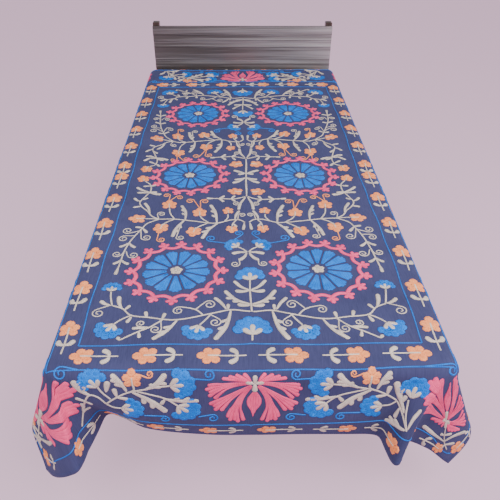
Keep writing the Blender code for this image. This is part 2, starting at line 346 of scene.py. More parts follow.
@dataclass(frozen=True)
class BrushedSteel:
    """Rolled and brushed steel sheet: satin grey with fine streaks along its length, and a painted reflection
    that darkens it towards its left.
    """

    dark: str = "5A5252"
    light: str = "B0A9AB"
    streak_mm: float = 3.0
    name: str = "brushed_rolled_steel"

    def build(self) -> bpy.types.Material:
        """Build the material.

        Returns:
            A metal that reads Object coordinates.
        """
        material = bpy.data.materials.new(self.name)
        material.use_nodes = True
        tree = material.node_tree
        shader = tree.nodes["Principled BSDF"]
        body = add_node(tree, "ShaderNodeTexCoord").outputs["Object"]
        streaks = []
        for size_mm, long_share in ((22.0, 0.02), (self.streak_mm, 0.01)):
            scale = 1 / (size_mm * MM)
            stretched = add_node(
                tree, "ShaderNodeMapping", {"Vector": body, "Scale": (scale * long_share, scale, scale)}
            ).outputs[0]
            streaks.append(
                add_node(
                    tree, "ShaderNodeTexNoise", {"Vector": stretched, "Scale": 1.0, "Detail": 2.0}
                ).outputs["Fac"]
            )
        both = add_node(
            tree, "ShaderNodeMath", {0: streaks[0], 1: 1.4, 2: streaks[1]}, operation="MULTIPLY_ADD"
        )
        # painted reflection: the panel's colour is darkened towards its left and lightened towards its right
        # along Object X, standing in for the room that it would mirror
        across = add_node(tree, "ShaderNodeSeparateXYZ", {0: body}).outputs["X"]
        painted_reflection_ramp = add_node(
            tree,
            "ShaderNodeMapRange",
            {"Value": across, "From Min": -0.45, "From Max": 0.45, "To Min": -0.42, "To Max": 0.22},
        ).outputs["Result"]
        both = add_node(tree, "ShaderNodeMath", {0: both.outputs[0], 1: painted_reflection_ramp}, operation="ADD")
        share = add_node(
            tree, "ShaderNodeMapRange", {"Value": both.outputs[0], "From Min": 0.85, "From Max": 1.6}
        ).outputs["Result"]
        colour = add_node(
            tree,
            "ShaderNodeMix",
            {"Factor": share, 6: linear(self.dark), 7: linear(self.light)},
            data_type="RGBA",
        ).outputs[2]
        rough = add_node(
            tree, "ShaderNodeMapRange", {"Value": streaks[1], "To Min": 0.34, "To Max": 0.5}
        ).outputs["Result"]
        bump = add_node(
            tree, "ShaderNodeBump", {"Height": streaks[1], "Strength": 0.15, "Distance": 0.0004}
        ).outputs["Normal"]
        tree.links.new(colour, shader.inputs["Base Color"])
        tree.links.new(rough, shader.inputs["Roughness"])
        tree.links.new(bump, shader.inputs["Normal"])
        shader.inputs["Metallic"].default_value = 0.55
        return material


@dataclass(frozen=True)
class Timber:
    """Planed timber with a thin finish: long grain, a few darker years, a low satin shine."""

    name: str
    dark: str
    light: str
    grain_axis: str  # X, Y or Z, the way that the grain runs
    roughness: float = 0.5

    def build(self) -> bpy.types.Material:
        """Build the material.

        Returns:
            A material that reads Object coordinates.
        """
        material = bpy.data.materials.new(self.name)
        material.use_nodes = True
        tree = material.node_tree
        shader = tree.nodes["Principled BSDF"]
        body = add_node(tree, "ShaderNodeTexCoord").outputs["Object"]
        across, lengthwise = 260.0, 9.0
        scale = tuple(lengthwise if axis == self.grain_axis else across for axis in "XYZ")
        stretched = add_node(tree, "ShaderNodeMapping", {"Vector": body, "Scale": scale}).outputs[0]
        grain = add_node(
            tree, "ShaderNodeTexNoise", {"Vector": stretched, "Scale": 1.0, "Detail": 5.0, "Distortion": 0.4}
        ).outputs["Fac"]
        years = add_node(
            tree, "ShaderNodeTexNoise", {"Vector": stretched, "Scale": 0.16, "Detail": 2.0}
        ).outputs["Fac"]
        both = add_node(
            tree, "ShaderNodeMath", {0: years, 1: 1.2, 2: grain}, operation="MULTIPLY_ADD"
        ).outputs[0]
        share = add_node(
            tree, "ShaderNodeMapRange", {"Value": both, "From Min": 0.7, "From Max": 1.5}
        ).outputs["Result"]
        colour = add_node(
            tree,
            "ShaderNodeMix",
            {"Factor": share, 6: linear(self.dark), 7: linear(self.light)},
            data_type="RGBA",
        ).outputs[2]
        bump = add_node(
            tree, "ShaderNodeBump", {"Height": grain, "Strength": 0.2, "Distance": 0.0004}
        ).outputs["Normal"]
        tree.links.new(colour, shader.inputs["Base Color"])
        tree.links.new(bump, shader.inputs["Normal"])
        shader.inputs["Roughness"].default_value = self.roughness
        shader.inputs["Coat Weight"].default_value = 0.15
        return material


@dataclass(frozen=True)
class Ticking:
    """Woven mattress ticking: pale cotton twill with narrow blue-grey stripes along the bed."""

    ground: str = "D9D2C4"
    stripe: str = "8C93A6"
    pitch_mm: float = 24.0
    name: str = "striped_cotton_ticking"

    def build(self) -> bpy.types.Material:
        """Build the material.

        Returns:
            A material that reads Object coordinates.
        """
        material = bpy.data.materials.new(self.name)
        material.use_nodes = True
        tree = material.node_tree
        shader = tree.nodes["Principled BSDF"]
        body = add_node(tree, "ShaderNodeTexCoord").outputs["Object"]
        stripes = add_node(
            tree,
            "ShaderNodeTexWave",
            {"Vector": body, "Scale": 1 / (self.pitch_mm * MM) / 3.1416 / 2, "Distortion": 0.0},
            bands_direction="X",
        ).outputs["Fac"]
        edge = add_node(
            tree, "ShaderNodeMapRange", {"Value": stripes, "From Min": 0.78, "From Max": 0.86}
        ).outputs["Result"]
        twill = add_node(
            tree, "ShaderNodeTexWave", {
                "Vector": body, "Scale": 140.0, "Distortion": 0.4
            }, bands_direction="DIAGONAL"
        ).outputs["Fac"]
        soft = add_node(
            tree, "ShaderNodeTexNoise", {"Vector": body, "Scale": 24.0, "Detail": 4.0}
        ).outputs["Fac"]
        striped = add_node(
            tree,
            "ShaderNodeMix",
            {"Factor": edge, 6: linear(self.ground), 7: linear(self.stripe)},
            data_type="RGBA",
        ).outputs[2]
        worn = add_node(
            tree,
            "ShaderNodeMix",
            {"Factor": soft, 6: striped, 7: linear("C9C1B2")},
            data_type="RGBA",
            blend_type="MULTIPLY",
        ).outputs[2]
        bump = add_node(
            tree, "ShaderNodeBump", {"Height": twill, "Strength": 0.3, "Distance": 0.0005}
        ).outputs["Normal"]
        tree.links.new(worn, shader.inputs["Base Color"])
        tree.links.new(bump, shader.inputs["Normal"])
        shader.inputs["Roughness"].default_value = 0.9
        shader.inputs["Sheen Weight"].default_value = 0.15
        return material


THREADS = {
    Thread.SAND: StitchThread("sand_embroidery_cotton", "90847A", "DCCCC0"),
    Thread.BLUE: StitchThread("royal_blue_embroidery_cotton", "003A94", "0880E6"),
    Thread.PINK: StitchThread("rose_pink_embroidery_cotton", "BC2C5E", "FF5C8C"),
    Thread.ORANGE: StitchThread("apricot_embroidery_cotton", "E06A3C", "FFA46A"),
}


# The drape

# Folds of the hanging sides, as the solid has them, a row each: the place along the edge (m), or at a corner
# the turn from the bed's side (0) to its end (90) in degrees; then the slant of the hanging cloth for each
# metre of drop, across the bed and along it, and how far down the drop it starts (m).
FOOT_FOLDS = (
    (-0.417, 0.25, -0.06, 0.05), (-0.384, 0.15, 0.26, 0.07), (-0.355, 0.08, 0.6, 0.08),
    (-0.31, 0.02, 0.64, 0.1), (-0.245, 0.0, 0.5, 0.13), (-0.1, 0.0, 0.39, 0.15), (0.0, 0.0, 0.36, 0.15),
    (0.12, 0.0, 0.36, 0.15), (0.23, 0.0, 0.34, 0.15), (0.295, -0.01, 0.21, 0.12),
    (0.325, -0.11, -0.1, 0.06), (0.357, -0.24, -0.36, 0.03), (0.392, -0.32, -0.34, 0.01),
    (0.417, -0.38, -0.16, 0.0),
)
LEFT_FOLDS = (
    (-0.982, -0.1, 0.26, 0.03), (-0.877, -0.2, 0.12, 0.05), (-0.717, -0.4, 0.02, 0.04),
    (-0.537, -0.1, 0.0, 0.06), (-0.348, -0.26, 0.0, 0.05), (-0.138, -0.02, 0.0, 0.08),
    (0.083, -0.22, 0.0, 0.06), (0.282, -0.02, 0.0, 0.08), (0.503, -0.18, 0.0, 0.06),
    (0.723, -0.02, 0.0, 0.08), (0.982, -0.02, -0.05, 0.05),
)
RIGHT_FOLDS = (
    (-0.982, 0.26, 0.16, 0.03), (-0.877, 0.18, 0.1, 0.05), (-0.737, 0.56, 0.02, 0.03),
    (-0.578, 0.22, 0.0, 0.05), (-0.367, 0.06, 0.0, 0.07), (-0.198, 0.24, 0.0, 0.05),
    (0.002, 0.0, 0.0, 0.08), (0.242, 0.2, 0.0, 0.06), (0.462, 0.02, 0.0, 0.08), (0.723, 0.16, 0.0, 0.06),
    (0.982, 0.02, -0.05, 0.05),
)
HEAD_FOLDS = ((-0.417, 0.0, 0.0, 0.05), (0.417, 0.0, 0.0, 0.05))
FOOT_LEFT_EAR = (
    (0, -0.1, 0.26, 0.03), (14, -0.32, 0.38, 0.02), (29, -0.38, 0.28, 0.02), (43, -0.2, 0.06, 0.02),
    (52, -0.1, -0.12, 0.03), (60, -0.01, -0.24, 0.03), (67, 0.1, -0.31, 0.03), (75, 0.2, -0.34, 0.03),
    (82, 0.24, -0.25, 0.04), (90, 0.25, -0.06, 0.05),
)
FOOT_RIGHT_EAR = (
    (0, 0.26, 0.16, 0.03), (15, 0.4, 0.2, 0.03), (30, 0.37, 0.11, 0.03), (45, 0.14, 0.05, 0.03),
    (58, -0.03, 0.06, 0.04), (70, -0.25, 0.06, 0.03), (80, -0.35, -0.02, 0.01), (90, -0.38, -0.16, 0.0),
)
HEAD_LEFT_EAR = (
    (0, -0.02, -0.05, 0.05), (15, -0.2, -0.16, 0.03), (30, -0.26, 0.0, 0.03), (50, -0.1, 0.04, 0.03),
    (90, 0.0, 0.0, 0.05),
)
HEAD_RIGHT_EAR = (
    (0, 0.02, -0.05, 0.05), (15, 0.2, -0.16, 0.03), (30, 0.26, 0.0, 0.03), (50, 0.1, 0.04, 0.03),
    (90, 0.0, 0.0, 0.05),
)


@dataclass
class Drape:
    """The cloth's flat size and the way that it falls over the bed."""

    shift_x: float  # from the drape's own middle to the frame's origin
    shift_y: float
    field_width: float = 0.758
    field_length: float = 1.670
    inner_border: float = 0.070
    broad_border: float = 0.170
    outer_border: float = 0.070
    bed_width: float = 0.894
    bed_length: float = 2.025
    top: float = 0.480
    bend: float = 0.030
    field_foot: float = 0.079  # from the bed's foot edge to the field
    slant_ramp: float = 0.060
    path_steps: int = 24
    swell_height: float = 0.0015
    crease_width: float = 0.012

    @property
    def width(self) -> float:
        """The flat cloth's width."""
        return self.field_width + 2 * (self.inner_border + self.broad_border + self.outer_border)

    @property
    def length(self) -> float:
        """The flat cloth's length."""
        return self.field_length + 2 * (self.inner_border + self.broad_border + self.outer_border)

    @property
    def flat_x(self) -> float:
        """Half the width of the flat top, between its bends."""
        return self.bed_width / 2 - self.bend

    @property
    def flat_y(self) -> float:
        """Half the length of the flat top, between its bends."""
        return self.bed_length / 2 - self.bend

    @property
    def field_middle(self) -> float:
        """Where the field's middle lies along the bed."""
        return -self.bed_length / 2 + self.field_foot + self.field_length / 2

    @staticmethod
    def between(table: tuple, place: np.ndarray) -> np.ndarray:
        """Read a fold table smoothly from row to row.

        Args:
            table: rows of place, slant across, slant along and start.
            place: where to read it.

        Returns:
            The three columns, a row for each place.
        """
        rows = np.array(table, float)
        at = np.clip(place, rows[0, 0], rows[-1, 0])
        k = np.clip(np.searchsorted(rows[:, 0], at, side="left") - 1, 0, len(rows) - 2)
        span = rows[k + 1, 0] - rows[k, 0]
        f = ((at - rows[k, 0]) / span)[:, None]
        low, high = rows[k, 1:], rows[k + 1, 1:]
        before, after = rows[np.maximum(k - 1, 0)], rows[np.minimum(k + 2, len(rows) - 1)]
        slope_in = np.where(
            (k > 0)[:, None],
            (high - before[:, 1:]) / (rows[k + 1, 0] - before[:, 0])[:, None] * span[:, None],
            high - low,
        )
        slope_out = np.where(
            (k < len(rows) - 2)[:, None],
            (after[:, 1:] - low) / (after[:, 0] - rows[k, 0])[:, None] * span[:, None],
            high - low,
        )
        return (
            (2 * f**3 - 3 * f**2 + 1) * low
            + (f**3 - 2 * f**2 + f) * slope_in
            + (3 * f**2 - 2 * f**3) * high
            + (f**3 - f**2) * slope_out
        )

    def slants(self, edge_x: np.ndarray, edge_y: np.ndarray, dx: np.ndarray, dy: np.ndarray) -> np.ndarray:
        """The fold columns of cloth that leaves the flat top at an edge point and lies dx, dy beyond it."""
        out = np.zeros((len(dx), 3))
        turn = np.degrees(np.arctan2(np.abs(dy), np.abs(dx)))
        corner = (dx != 0) & (dy != 0)
        choices = (
            (corner & (dx < 0) & (dy < 0), FOOT_LEFT_EAR, turn),
            (corner & (dx > 0) & (dy < 0), FOOT_RIGHT_EAR, turn),
            (corner & (dx < 0) & (dy > 0), HEAD_LEFT_EAR, turn),
            (corner & (dx > 0) & (dy > 0), HEAD_RIGHT_EAR, turn), (~corner & (dx < 0), LEFT_FOLDS, edge_y),
            (~corner & (dx > 0), RIGHT_FOLDS, edge_y), (~corner & (dy < 0), FOOT_FOLDS, edge_x),
            (~corner & (dy > 0), HEAD_FOLDS, edge_x),
        )
        for chosen, table, place in choices:
            if chosen.any():
                out[chosen] = self.between(table, place[chosen])
        return out

    def swell(self, x: np.ndarray, y: np.ndarray) -> np.ndarray:
        """Height of the soft unevenness of the flat top, with the crease down the middle."""
        waves = self.swell_height * (1 + np.sin(5.1 * x + 2.3 * y) * np.sin(3.7 * y + 0.6))
        return waves + self.swell_height * np.exp(-((x / self.crease_width) ** 2))

    def points(self, flat: np.ndarray) -> np.ndarray:
        """Lay points of the flat cloth in the drape.

        Args:
            flat: x across from the middle line and y from the field's middle, a row each.

        Returns:
            Points on the cloth's outer face, in the row frame.
        """
        x, y = flat[:, 0], flat[:, 1] + self.field_middle
        edge_x = np.clip(x, -self.flat_x, self.flat_x)
        edge_y = np.clip(y, -self.flat_y, self.flat_y)
        dx, dy = x - edge_x, y - edge_y
        reach = np.hypot(dx, dy)
        out = np.column_stack([edge_x, edge_y, self.top + self.swell(edge_x, edge_y)])
        hangs = reach > 1e-9
        if hangs.any():
            out[hangs] = self.hang(edge_x[hangs], edge_y[hangs], dx[hangs], dy[hangs], reach[hangs])
        return out + (self.shift_x, self.shift_y, 0.0)

    def hang(
        self, edge_x: np.ndarray, edge_y: np.ndarray, dx: np.ndarray, dy: np.ndarray, reach: np.ndarray
    ) -> np.ndarray:
        """Follow lines of cloth over the mattress edge and down, each by its own length.

        Args:
            edge_x: where each line leaves the flat top, across.
            edge_y: the same, along.
            dx: how far the point lies beyond that edge, across.
            dy: the same, along.
            reach: the line's length.

        Returns:
            The points at the lines' ends.
        """
        fold = self.slants(edge_x, edge_y, dx, dy)
        level = self.top + self.swell(edge_x, edge_y) * np.maximum(0.0, 1 - reach / 0.04)
        spot = np.column_stack([edge_x, edge_y, level])
        step = reach / self.path_steps
        for k in range(self.path_steps):
            at = (k + 0.5) * step
            angle = np.minimum(at / self.bend, math.pi / 2)
            grow = np.clip((at - fold[:, 2]) / self.slant_ramp, 0.0, 1.0)
            grow = grow * grow * (3 - 2 * grow)
            way = np.column_stack(
                [
                    dx / reach * np.cos(angle) + fold[:, 0] * grow,
                    dy / reach * np.cos(angle) + fold[:, 1] * grow,
                    -np.sin(angle),
                ]
            )
            spot += way / np.linalg.norm(way, axis=1)[:, None] * step[:, None]
        return spot

    def normals(self, flat: np.ndarray, gap: float = 0.003) -> np.ndarray:
        """The cloth's outward directions at points of the flat cloth."""
        right = self.points(flat + (gap, 0)) - self.points(flat - (gap, 0))
        ahead = self.points(flat + (0, gap)) - self.points(flat - (0, gap))
        out = np.cross(right, ahead)
        return out / np.linalg.norm(out, axis=1)[:, None]


@dataclass
class Sheet:
    """The bedspread's cloth: one cut of cotton, as a thin closed sheet on the drape."""

    drape: Drape
    finish: CottonCloth = field(default_factory=CottonCloth)
    thickness: float = 0.0014
    flat_step: float = 0.013
    fold_step: float = 0.0062
    bend_step: float = 0.0042
    fold_zone: float = 0.150  # from the flat top's side edge inwards, where the foot has its tight folds
    hem_turn: float = 0.0004  # how far the turned hem stands proud
    hem_width: float = 0.010

    @staticmethod
    def even(low: float, high: float, step: float) -> list[float]:
        """Even places from low up to but not at high, no further apart than step."""
        count = max(1, math.ceil((high - low) / step))
        return [low + (high - low) * k / count for k in range(count)]

    def lines(self, flat: float, half: float, zone: float) -> np.ndarray:
        """Grid lines from the middle out to one edge.

        Args:
            flat: half the flat top.
            half: half the cloth, from the same middle.
            zone: how far in from the flat top's edge the grid is fine.

        Returns:
            The places of the lines, from 0 to half.
        """
        arc = min(self.drape.bend * math.pi / 2, half - flat)
        out = self.even(0.0, flat - zone, self.flat_step) if zone < flat else []
        if zone:
            out += self.even(max(0.0, flat - zone), flat, self.fold_step)
        out += self.even(flat, flat + arc, self.bend_step)
        if half > flat + arc + 1e-6:
            out += self.even(flat + arc, half - self.hem_width, self.fold_step)
        return np.array([*out, half - self.hem_width * 0.999, half - self.hem_width * 0.5, half])

    def build(self) -> bpy.types.Object:
        """Build the sheet.

        Returns:
            The sheet, which rides on the bed and stands for the bedspread's solid.
        """
        d = self.drape
        right = self.lines(d.flat_x, d.width / 2, self.fold_zone)
        across = np.concatenate([-right[:0:-1], right])
        foot = -self.lines(d.flat_y, d.length / 2 - d.field_middle, 0.0)[::-1]
        head = self.lines(d.flat_y, d.length / 2 + d.field_middle, 0.0)
        along = np.concatenate([foot[:-1], head]) - d.field_middle
        gx, gy = np.meshgrid(across, along)
        flat = np.column_stack([gx.ravel(), gy.ravel()])
        to_edge = np.minimum(d.width / 2 - np.abs(flat[:, 0]), d.length / 2 - np.abs(flat[:, 1]))
        proud = np.where(to_edge < self.hem_width * 0.9995, self.hem_turn, 0.0)[:, None]
        normals = d.normals(flat)
        outer = d.points(flat) + normals * (proud - 0.0003)
        inner = outer - normals * (self.thickness + 2 * proud)
        columns, rows = len(across), len(along)
        number = np.arange(columns * rows).reshape(rows, columns)
        quads = np.stack(
            [number[:-1, :-1], number[:-1, 1:], number[1:, 1:], number[1:, :-1]], -1
        ).reshape(-1, 4)
        count = columns * rows
        rim = np.concatenate([number[0, :], number[1:, -1], number[-1, -2::-1], number[-2:0:-1, 0]])
        following = np.roll(rim, -1)
        walls = np.stack([rim, rim + count, following + count, following], -1)
        faces = np.vstack([quads, quads[:, ::-1] + count, walls]).tolist()
        piece = make_piece(
            "bedspread_cloth", np.vstack([outer, inner]), faces, np.vstack([flat, flat]), "cloth"
        )
        piece.data.materials.append(self.finish.build())
        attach(piece, "root")
        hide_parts("bedspread")
        return piece


# The embroidery


@dataclass(frozen=True)
class Place:
    """Where a motif is worked on the flat cloth."""

    # How much nearer the middle the head half is drawn, by distance from the middle (m).
    DRAWN_FROM: ClassVar[tuple] = (0.0, 0.133, 0.178, 0.31, 0.43, 0.552, 0.722, 0.83)
    DRAWN_BY: ClassVar[tuple] = (0.078, 0.076, 0.063, 0.055, 0.055, 0.034, 0.018, 0.0)

    x: float = 0.0  # its origin, in metres
    y: float = 0.0
    turn: float = 0.0  # degrees
    flip_x: int = 1  # -1 mirrors it
    flip_y: int = 1
    stretch: float = 1.0  # along its own x
    drawn_in: bool = False  # the head half of the field is drawn a little nearer its middle

    def lay(self, points: np.ndarray) -> np.ndarray:
        """Turn a motif's points, in millimetres, into points of the flat cloth in metres."""
        x = points[:, 0] * MM * self.flip_x * self.stretch
        y = points[:, 1] * MM * self.flip_y
        c, s = math.cos(math.radians(self.turn)), math.sin(math.radians(self.turn))
        out = np.column_stack([self.x + c * x - s * y, self.y + s * x + c * y])
        if self.drawn_in:
            nearer = np.interp(out[:, 1], self.DRAWN_FROM, self.DRAWN_BY)
            out[:, 1] -= nearer * np.interp(np.abs(out[:, 0]), (0.24, 0.33), (1.0, 0.15))
        return out


@dataclass
class Needle:
    """Works rows of stitches on the flat cloth and turns them into one mesh for each thread."""

    drape: Drape
    place: Place = Place()
    step: float = 0.0058
    fullness: float = 1.18  # thread spreads this much past the drawn width
    edges: tuple = (-1.0, -0.55, 0.55, 1.0)  # the row's cross-section: places across it
    rises: tuple = (-0.2, 1.0, 1.0, -0.2)  # and their heights
    rows: dict = field(default_factory=lambda: {thread: [] for thread in Thread})

    def row(
        self, thread: Thread, path, width: float, profile: Profile = Profile.LINE, height: float = 0.9
    ) -> None:
        """Work one row of stitches.

        Args:
            thread: its thread.
            path: its control points, in the motif's millimetres.
            width: its greatest width in millimetres.
            profile: how it widens along its length.
            height: how far it stands proud of the cloth, in millimetres.
        """
        curve = self.place.lay(smooth(np.asarray(path, float)))
        curve += self.hand(curve)
        gone = np.concatenate([[0.0], np.cumsum(np.hypot(*np.diff(curve, axis=0).T))])
        total = gone[-1]
        cap = min(width * MM / 2, total * 0.4)
        ends = cap * np.array([0.0, 0.16, 0.5])
        body = np.linspace(cap, total - cap, max(2, math.ceil((total - 2 * cap) / self.step) + 1))
        at = np.concatenate([ends, body, total - ends[::-1]])
        spot = np.column_stack([np.interp(at, gone, curve[:, 0]), np.interp(at, gone, curve[:, 1])])
        way = np.gradient(spot, at, axis=0)
        way /= np.linalg.norm(way, axis=1)[:, None]
        side = np.column_stack([-way[:, 1], way[:, 0]])
        to_end = np.minimum(np.minimum(at, total - at) / cap, 1.0)
        rounding = np.maximum(np.sqrt(1 - (1 - to_end) ** 2), 0.15)
        shares, widths = zip(*profile.value)
        half = self.fullness * width * MM / 2 * np.interp(at / total, shares, widths) * rounding
        edges, rises = np.array(self.edges), np.array(self.rises)
        flat = spot[:, None, :] + side[:, None, :] * (half[:, None] * edges)[:, :, None]
        lift = height * MM * rises * np.sqrt(rounding)[:, None]
        uv = np.stack([np.repeat(at[:, None], len(edges), 1), half[:, None] * edges], -1)
        self.rows[thread].append((flat, lift, uv))

    @staticmethod
    def hand(flat: np.ndarray) -> np.ndarray:
        """How far hand work has wandered from the drawn line, at points of the flat cloth."""
        x, y = flat[:, 0], flat[:, 1]
        return 0.0022 * np.column_stack(
            [
                np.sin(11.0 * x + 7.0 * y + 0.7) + 0.6 * np.sin(31.0 * y - 19.0 * x),
                np.sin(8.0 * x - 9.0 * y + 2.1) + 0.6 * np.sin(27.0 * x + 23.0 * y + 1.0),
            ]
        )

    def leaf(
        self, start, end, width: float, bend: float = 0.0, teeth: int = 0, thread: Thread = Thread.SAND
    ) -> None:
        """Work a leaf, slim where it leaves its stem and rounded at its end.

        Args:
            start: where it leaves the stem.
            end: its tip.
            width: its greatest width.
            bend: how far its middle bows to its left.
            teeth: 0, or 1 or -1 for short lobes on its left or right.
            thread: its thread.
        """
        a, b = np.array(start, float), np.array(end, float)
        run = b - a
        size = float(np.hypot(*run))
        left = np.array([-run[1], run[0]]) / size
        self.row(thread, [a, (a + b) / 2 + left * bend, b], width, Profile.CLUB, 1.0)
        if teeth:
            for share in (0.28, 0.52):
                root = a + run * share + left * bend * 4 * share * (1 - share)
                tip = root + run / size * 17 + left * teeth * (width * 1.15)
                self.row(thread, [root, tip], width * 0.80, Profile.CLUB, 1.0)

    def curl(
        self, start, middle, radius: float, hand: int, thread: Thread = Thread.SAND, width: float = 3.2
    ) -> None:
        """Work a thin tendril that ends in a coil.

        Args:
            start: where it leaves its stem.
            middle: the coil's middle.
            radius: the coil's radius.
            hand: 1 turns to the left, -1 to the right.
            thread: its thread.
            width: its width.
        """
        a, c = np.array(start, float), np.array(middle, float)
        first = math.degrees(math.atan2(a[1] - c[1], a[0] - c[0])) + hand * 50
        coil = [c + ray(first + hand * 540 * k / 13, radius * 1.4 * (1 - 0.78 * k / 13)) for k in range(14)]
        self.row(thread, [a, *coil], width, Profile.LINE, 0.8)

    def lobe(self, thread: Thread, middle, radius: float, first: float = 0.0) -> None:
        """Work a round lobe: one row wound out from its middle.

        Args:
            thread: its thread.
            middle: its middle.
            radius: its radius.
            first: the direction in which the row ends, in degrees.
        """
        c = np.array(middle, float)
        coil = [c + ray(first + 30, radius * 0.42)]
        coil += [c + ray(first - 150 + 50 * k, radius * min(0.10 + 0.14 * k, 0.66)) for k in range(12)]
        self.row(thread, coil, radius * 0.68, Profile.LINE, 1.0)
        self.row(
            thread, [
                c - ray(first, radius * 0.3), c + ray(first, radius * 0.3)
            ], radius * 0.9, Profile.LINE, 0.9
        )

    def blossom(self, x: float, y: float, turn: float, size: float = 1.0) -> None:
        """Work an apricot flower: a tip petal and two pairs, with a pale stroke at its middle.

        Args:
            x: its middle.
            y: its middle.
            turn: the direction away from its stem, in degrees.
            size: its share of full size.
        """
        # along, aside, radius
        petals = ((19, 0, 11), (6, 14, 10.5), (6, -14, 10.5), (-12, 11.5, 10.5), (-12, -11.5, 10.5))
        c, forward, left = np.array([x, y], float), ray(turn), ray(turn + 90)
        self.lobe(Thread.ORANGE, c, 11 * size, turn)
        for along, aside, radius in petals:
            self.lobe(
                Thread.ORANGE, c + (forward * along + left * aside) * size, radius * size, turn + aside * 6
            )
        self.row(
            Thread.SAND, [c - forward * 21 * size, c + forward * 6 * size], 4.6 * size, Profile.LINE, 1.8
        )

    def sprig(self, x: float, y: float, turn: float, reach: float, fork_at: float, size: float = 1.0) -> None:
        """Work a border flower on its stem with one pair of leaves.

        Args:
            x: the flower's middle.
            y: the flower's middle.
            turn: the direction in which the flower points, in degrees.
            reach: the stem's length from the flower's middle.
            fork_at: how far from the flower's middle its leaves spring.
            size: the share of full size.
        """
        c, forward, left = np.array([x, y], float), ray(turn), ray(turn + 90)
        self.blossom(x, y, turn, size)
        self.row(Thread.SAND, [c - forward * 20 * size, c - forward * reach], 4.0, Profile.LINE, 1.0)
        fork = c - forward * fork_at
        for hand in (1, -1):
            tip = fork + forward * 18 * size + left * hand * 20 * size
            bow = fork + forward * 5 * size + left * hand * 12 * size
            self.row(Thread.SAND, [fork, bow, tip], 12.5 * size, Profile.CLUB, 1.0)

    def carnation(self, x: float, y: float, turn: float, size: float = 1.0) -> None:
        """Work a blue half flower: a fan of round lobes that rises from a pale toothed cup.

        Args:
            x: the foot of its cup.
            y: the foot of its cup.
            turn: the direction in which it opens, in degrees.
            size: its share of full size.
        """
        c = np.array([x, y], float)
        for swing in (-50, 50, 0):
            self.lobe(Thread.BLUE, c + ray(turn, 15 * size) + ray(turn + swing, 10 * size), 12 * size, turn)
        for swing in (-86, -52, -18, 18, 52, 86):
            self.lobe(
                Thread.BLUE, c + ray(turn, 14 * size) + ray(turn + swing,
                26 * size), 11.5 * size, turn + swing
            )
        for swing, length in ((-46, 24), (0, 27), (46, 24)):
            self.row(Thread.SAND, [c, c + ray(turn + swing, length * size)], 11.5 * size, Profile.CLUB, 1.9)

    def medallion(self, x: float, y: float, tilt: float = 0.0) -> None:
        """Work a round medallion: a pale flower, thirteen blue wedges and a scalloped pink ring.

        Args:
            x: its middle.
            y: its middle.
            tilt: how far its wedges and scallops are turned, in degrees.
        """
        wedges, rows, scallops = 13, 4, 16
        inner, outer, gap = 25.0, 87.0, 9.5
        c = np.array([x, y], float)
        for k in range(5):
            self.lobe(Thread.SAND, c + ray(tilt + 90 + 72 * k, 9.5), 8.2, 72 * k)
        self.lobe(Thread.SAND, c, 7.0)
        pitch = 360 / wedges
        for k in range(wedges):
            middle = tilt + pitch * k
            spread = pitch - math.degrees(gap / outer)
            for j in range(rows):
                share = (j + 0.5) / rows - 0.5
                way = middle + spread * share
                end = outer + (2.0 if j in (1, 2) else -2.0)
                width = math.radians(spread) / rows * outer * 1.22
                root = c + ray(middle, inner) + ray(middle + 90, share * 4.5)
                self.row(Thread.BLUE, [root, c + ray(way, end)], width, Profile.WEDGE, 1.0)
        pitch = 360 / scallops
        cusp, trough = 115.0, 105.0
        for k in range(scallops):
            first = tilt + 4 + pitch * k
            arc = [c + ray(first + pitch * f, trough + (cusp - trough) * abs(2 * f - 1) ** 1.7)
                   for f in (0.0, 0.2, 0.4, 0.6, 0.8, 1.0)]
            self.row(Thread.PINK, arc, 10.4, Profile.LINE, 1.0)
            root, forward, left = c + ray(first, cusp - 5), ray(first), ray(first + 90)
            self.row(Thread.PINK, [root, root + forward * 29], 11.5, Profile.CLUB, 1.3)
            for hand in (1, -1):
                path = [
                    root + forward * 6, root + forward * 13 + left * hand * 8,
                    root + forward * 17 + left * hand * 15
                ]
                self.row(Thread.PINK, path, 10.0, Profile.CLUB, 1.3)

    def palmette(self, x: float, y: float, ahead: tuple, aside: tuple) -> None:
        """Work a large pink palmette: a drop at its middle and fanned petals with lobed ends.

        Args:
            x: the middle of its pale cup.
            y: the middle of its pale cup.
            ahead: the direction in which it opens, as long as its share of full size.
            aside: the same for the direction across it.
        """
        c, ahead, aside = (np.array(part, float) for part in ((x, y), ahead, aside))
        size = (math.hypot(*ahead) + math.hypot(*aside)) / 2

        def spread(spot: np.ndarray | tuple) -> np.ndarray:
            """Set out one point given as its distance ahead and aside."""
            return c + spot[0] * ahead + spot[1] * aside

        for offset in (-12, -6, 0, 6, 12):
            path = [
                (26, 0.25 * offset), (44, 0.9 * offset), (64, offset), (107 - 1.6 * abs(offset), 0.3 * offset)
            ]
            self.row(Thread.PINK, [spread(spot) for spot in path], 8.0 * size, Profile.DROP, 1.0)
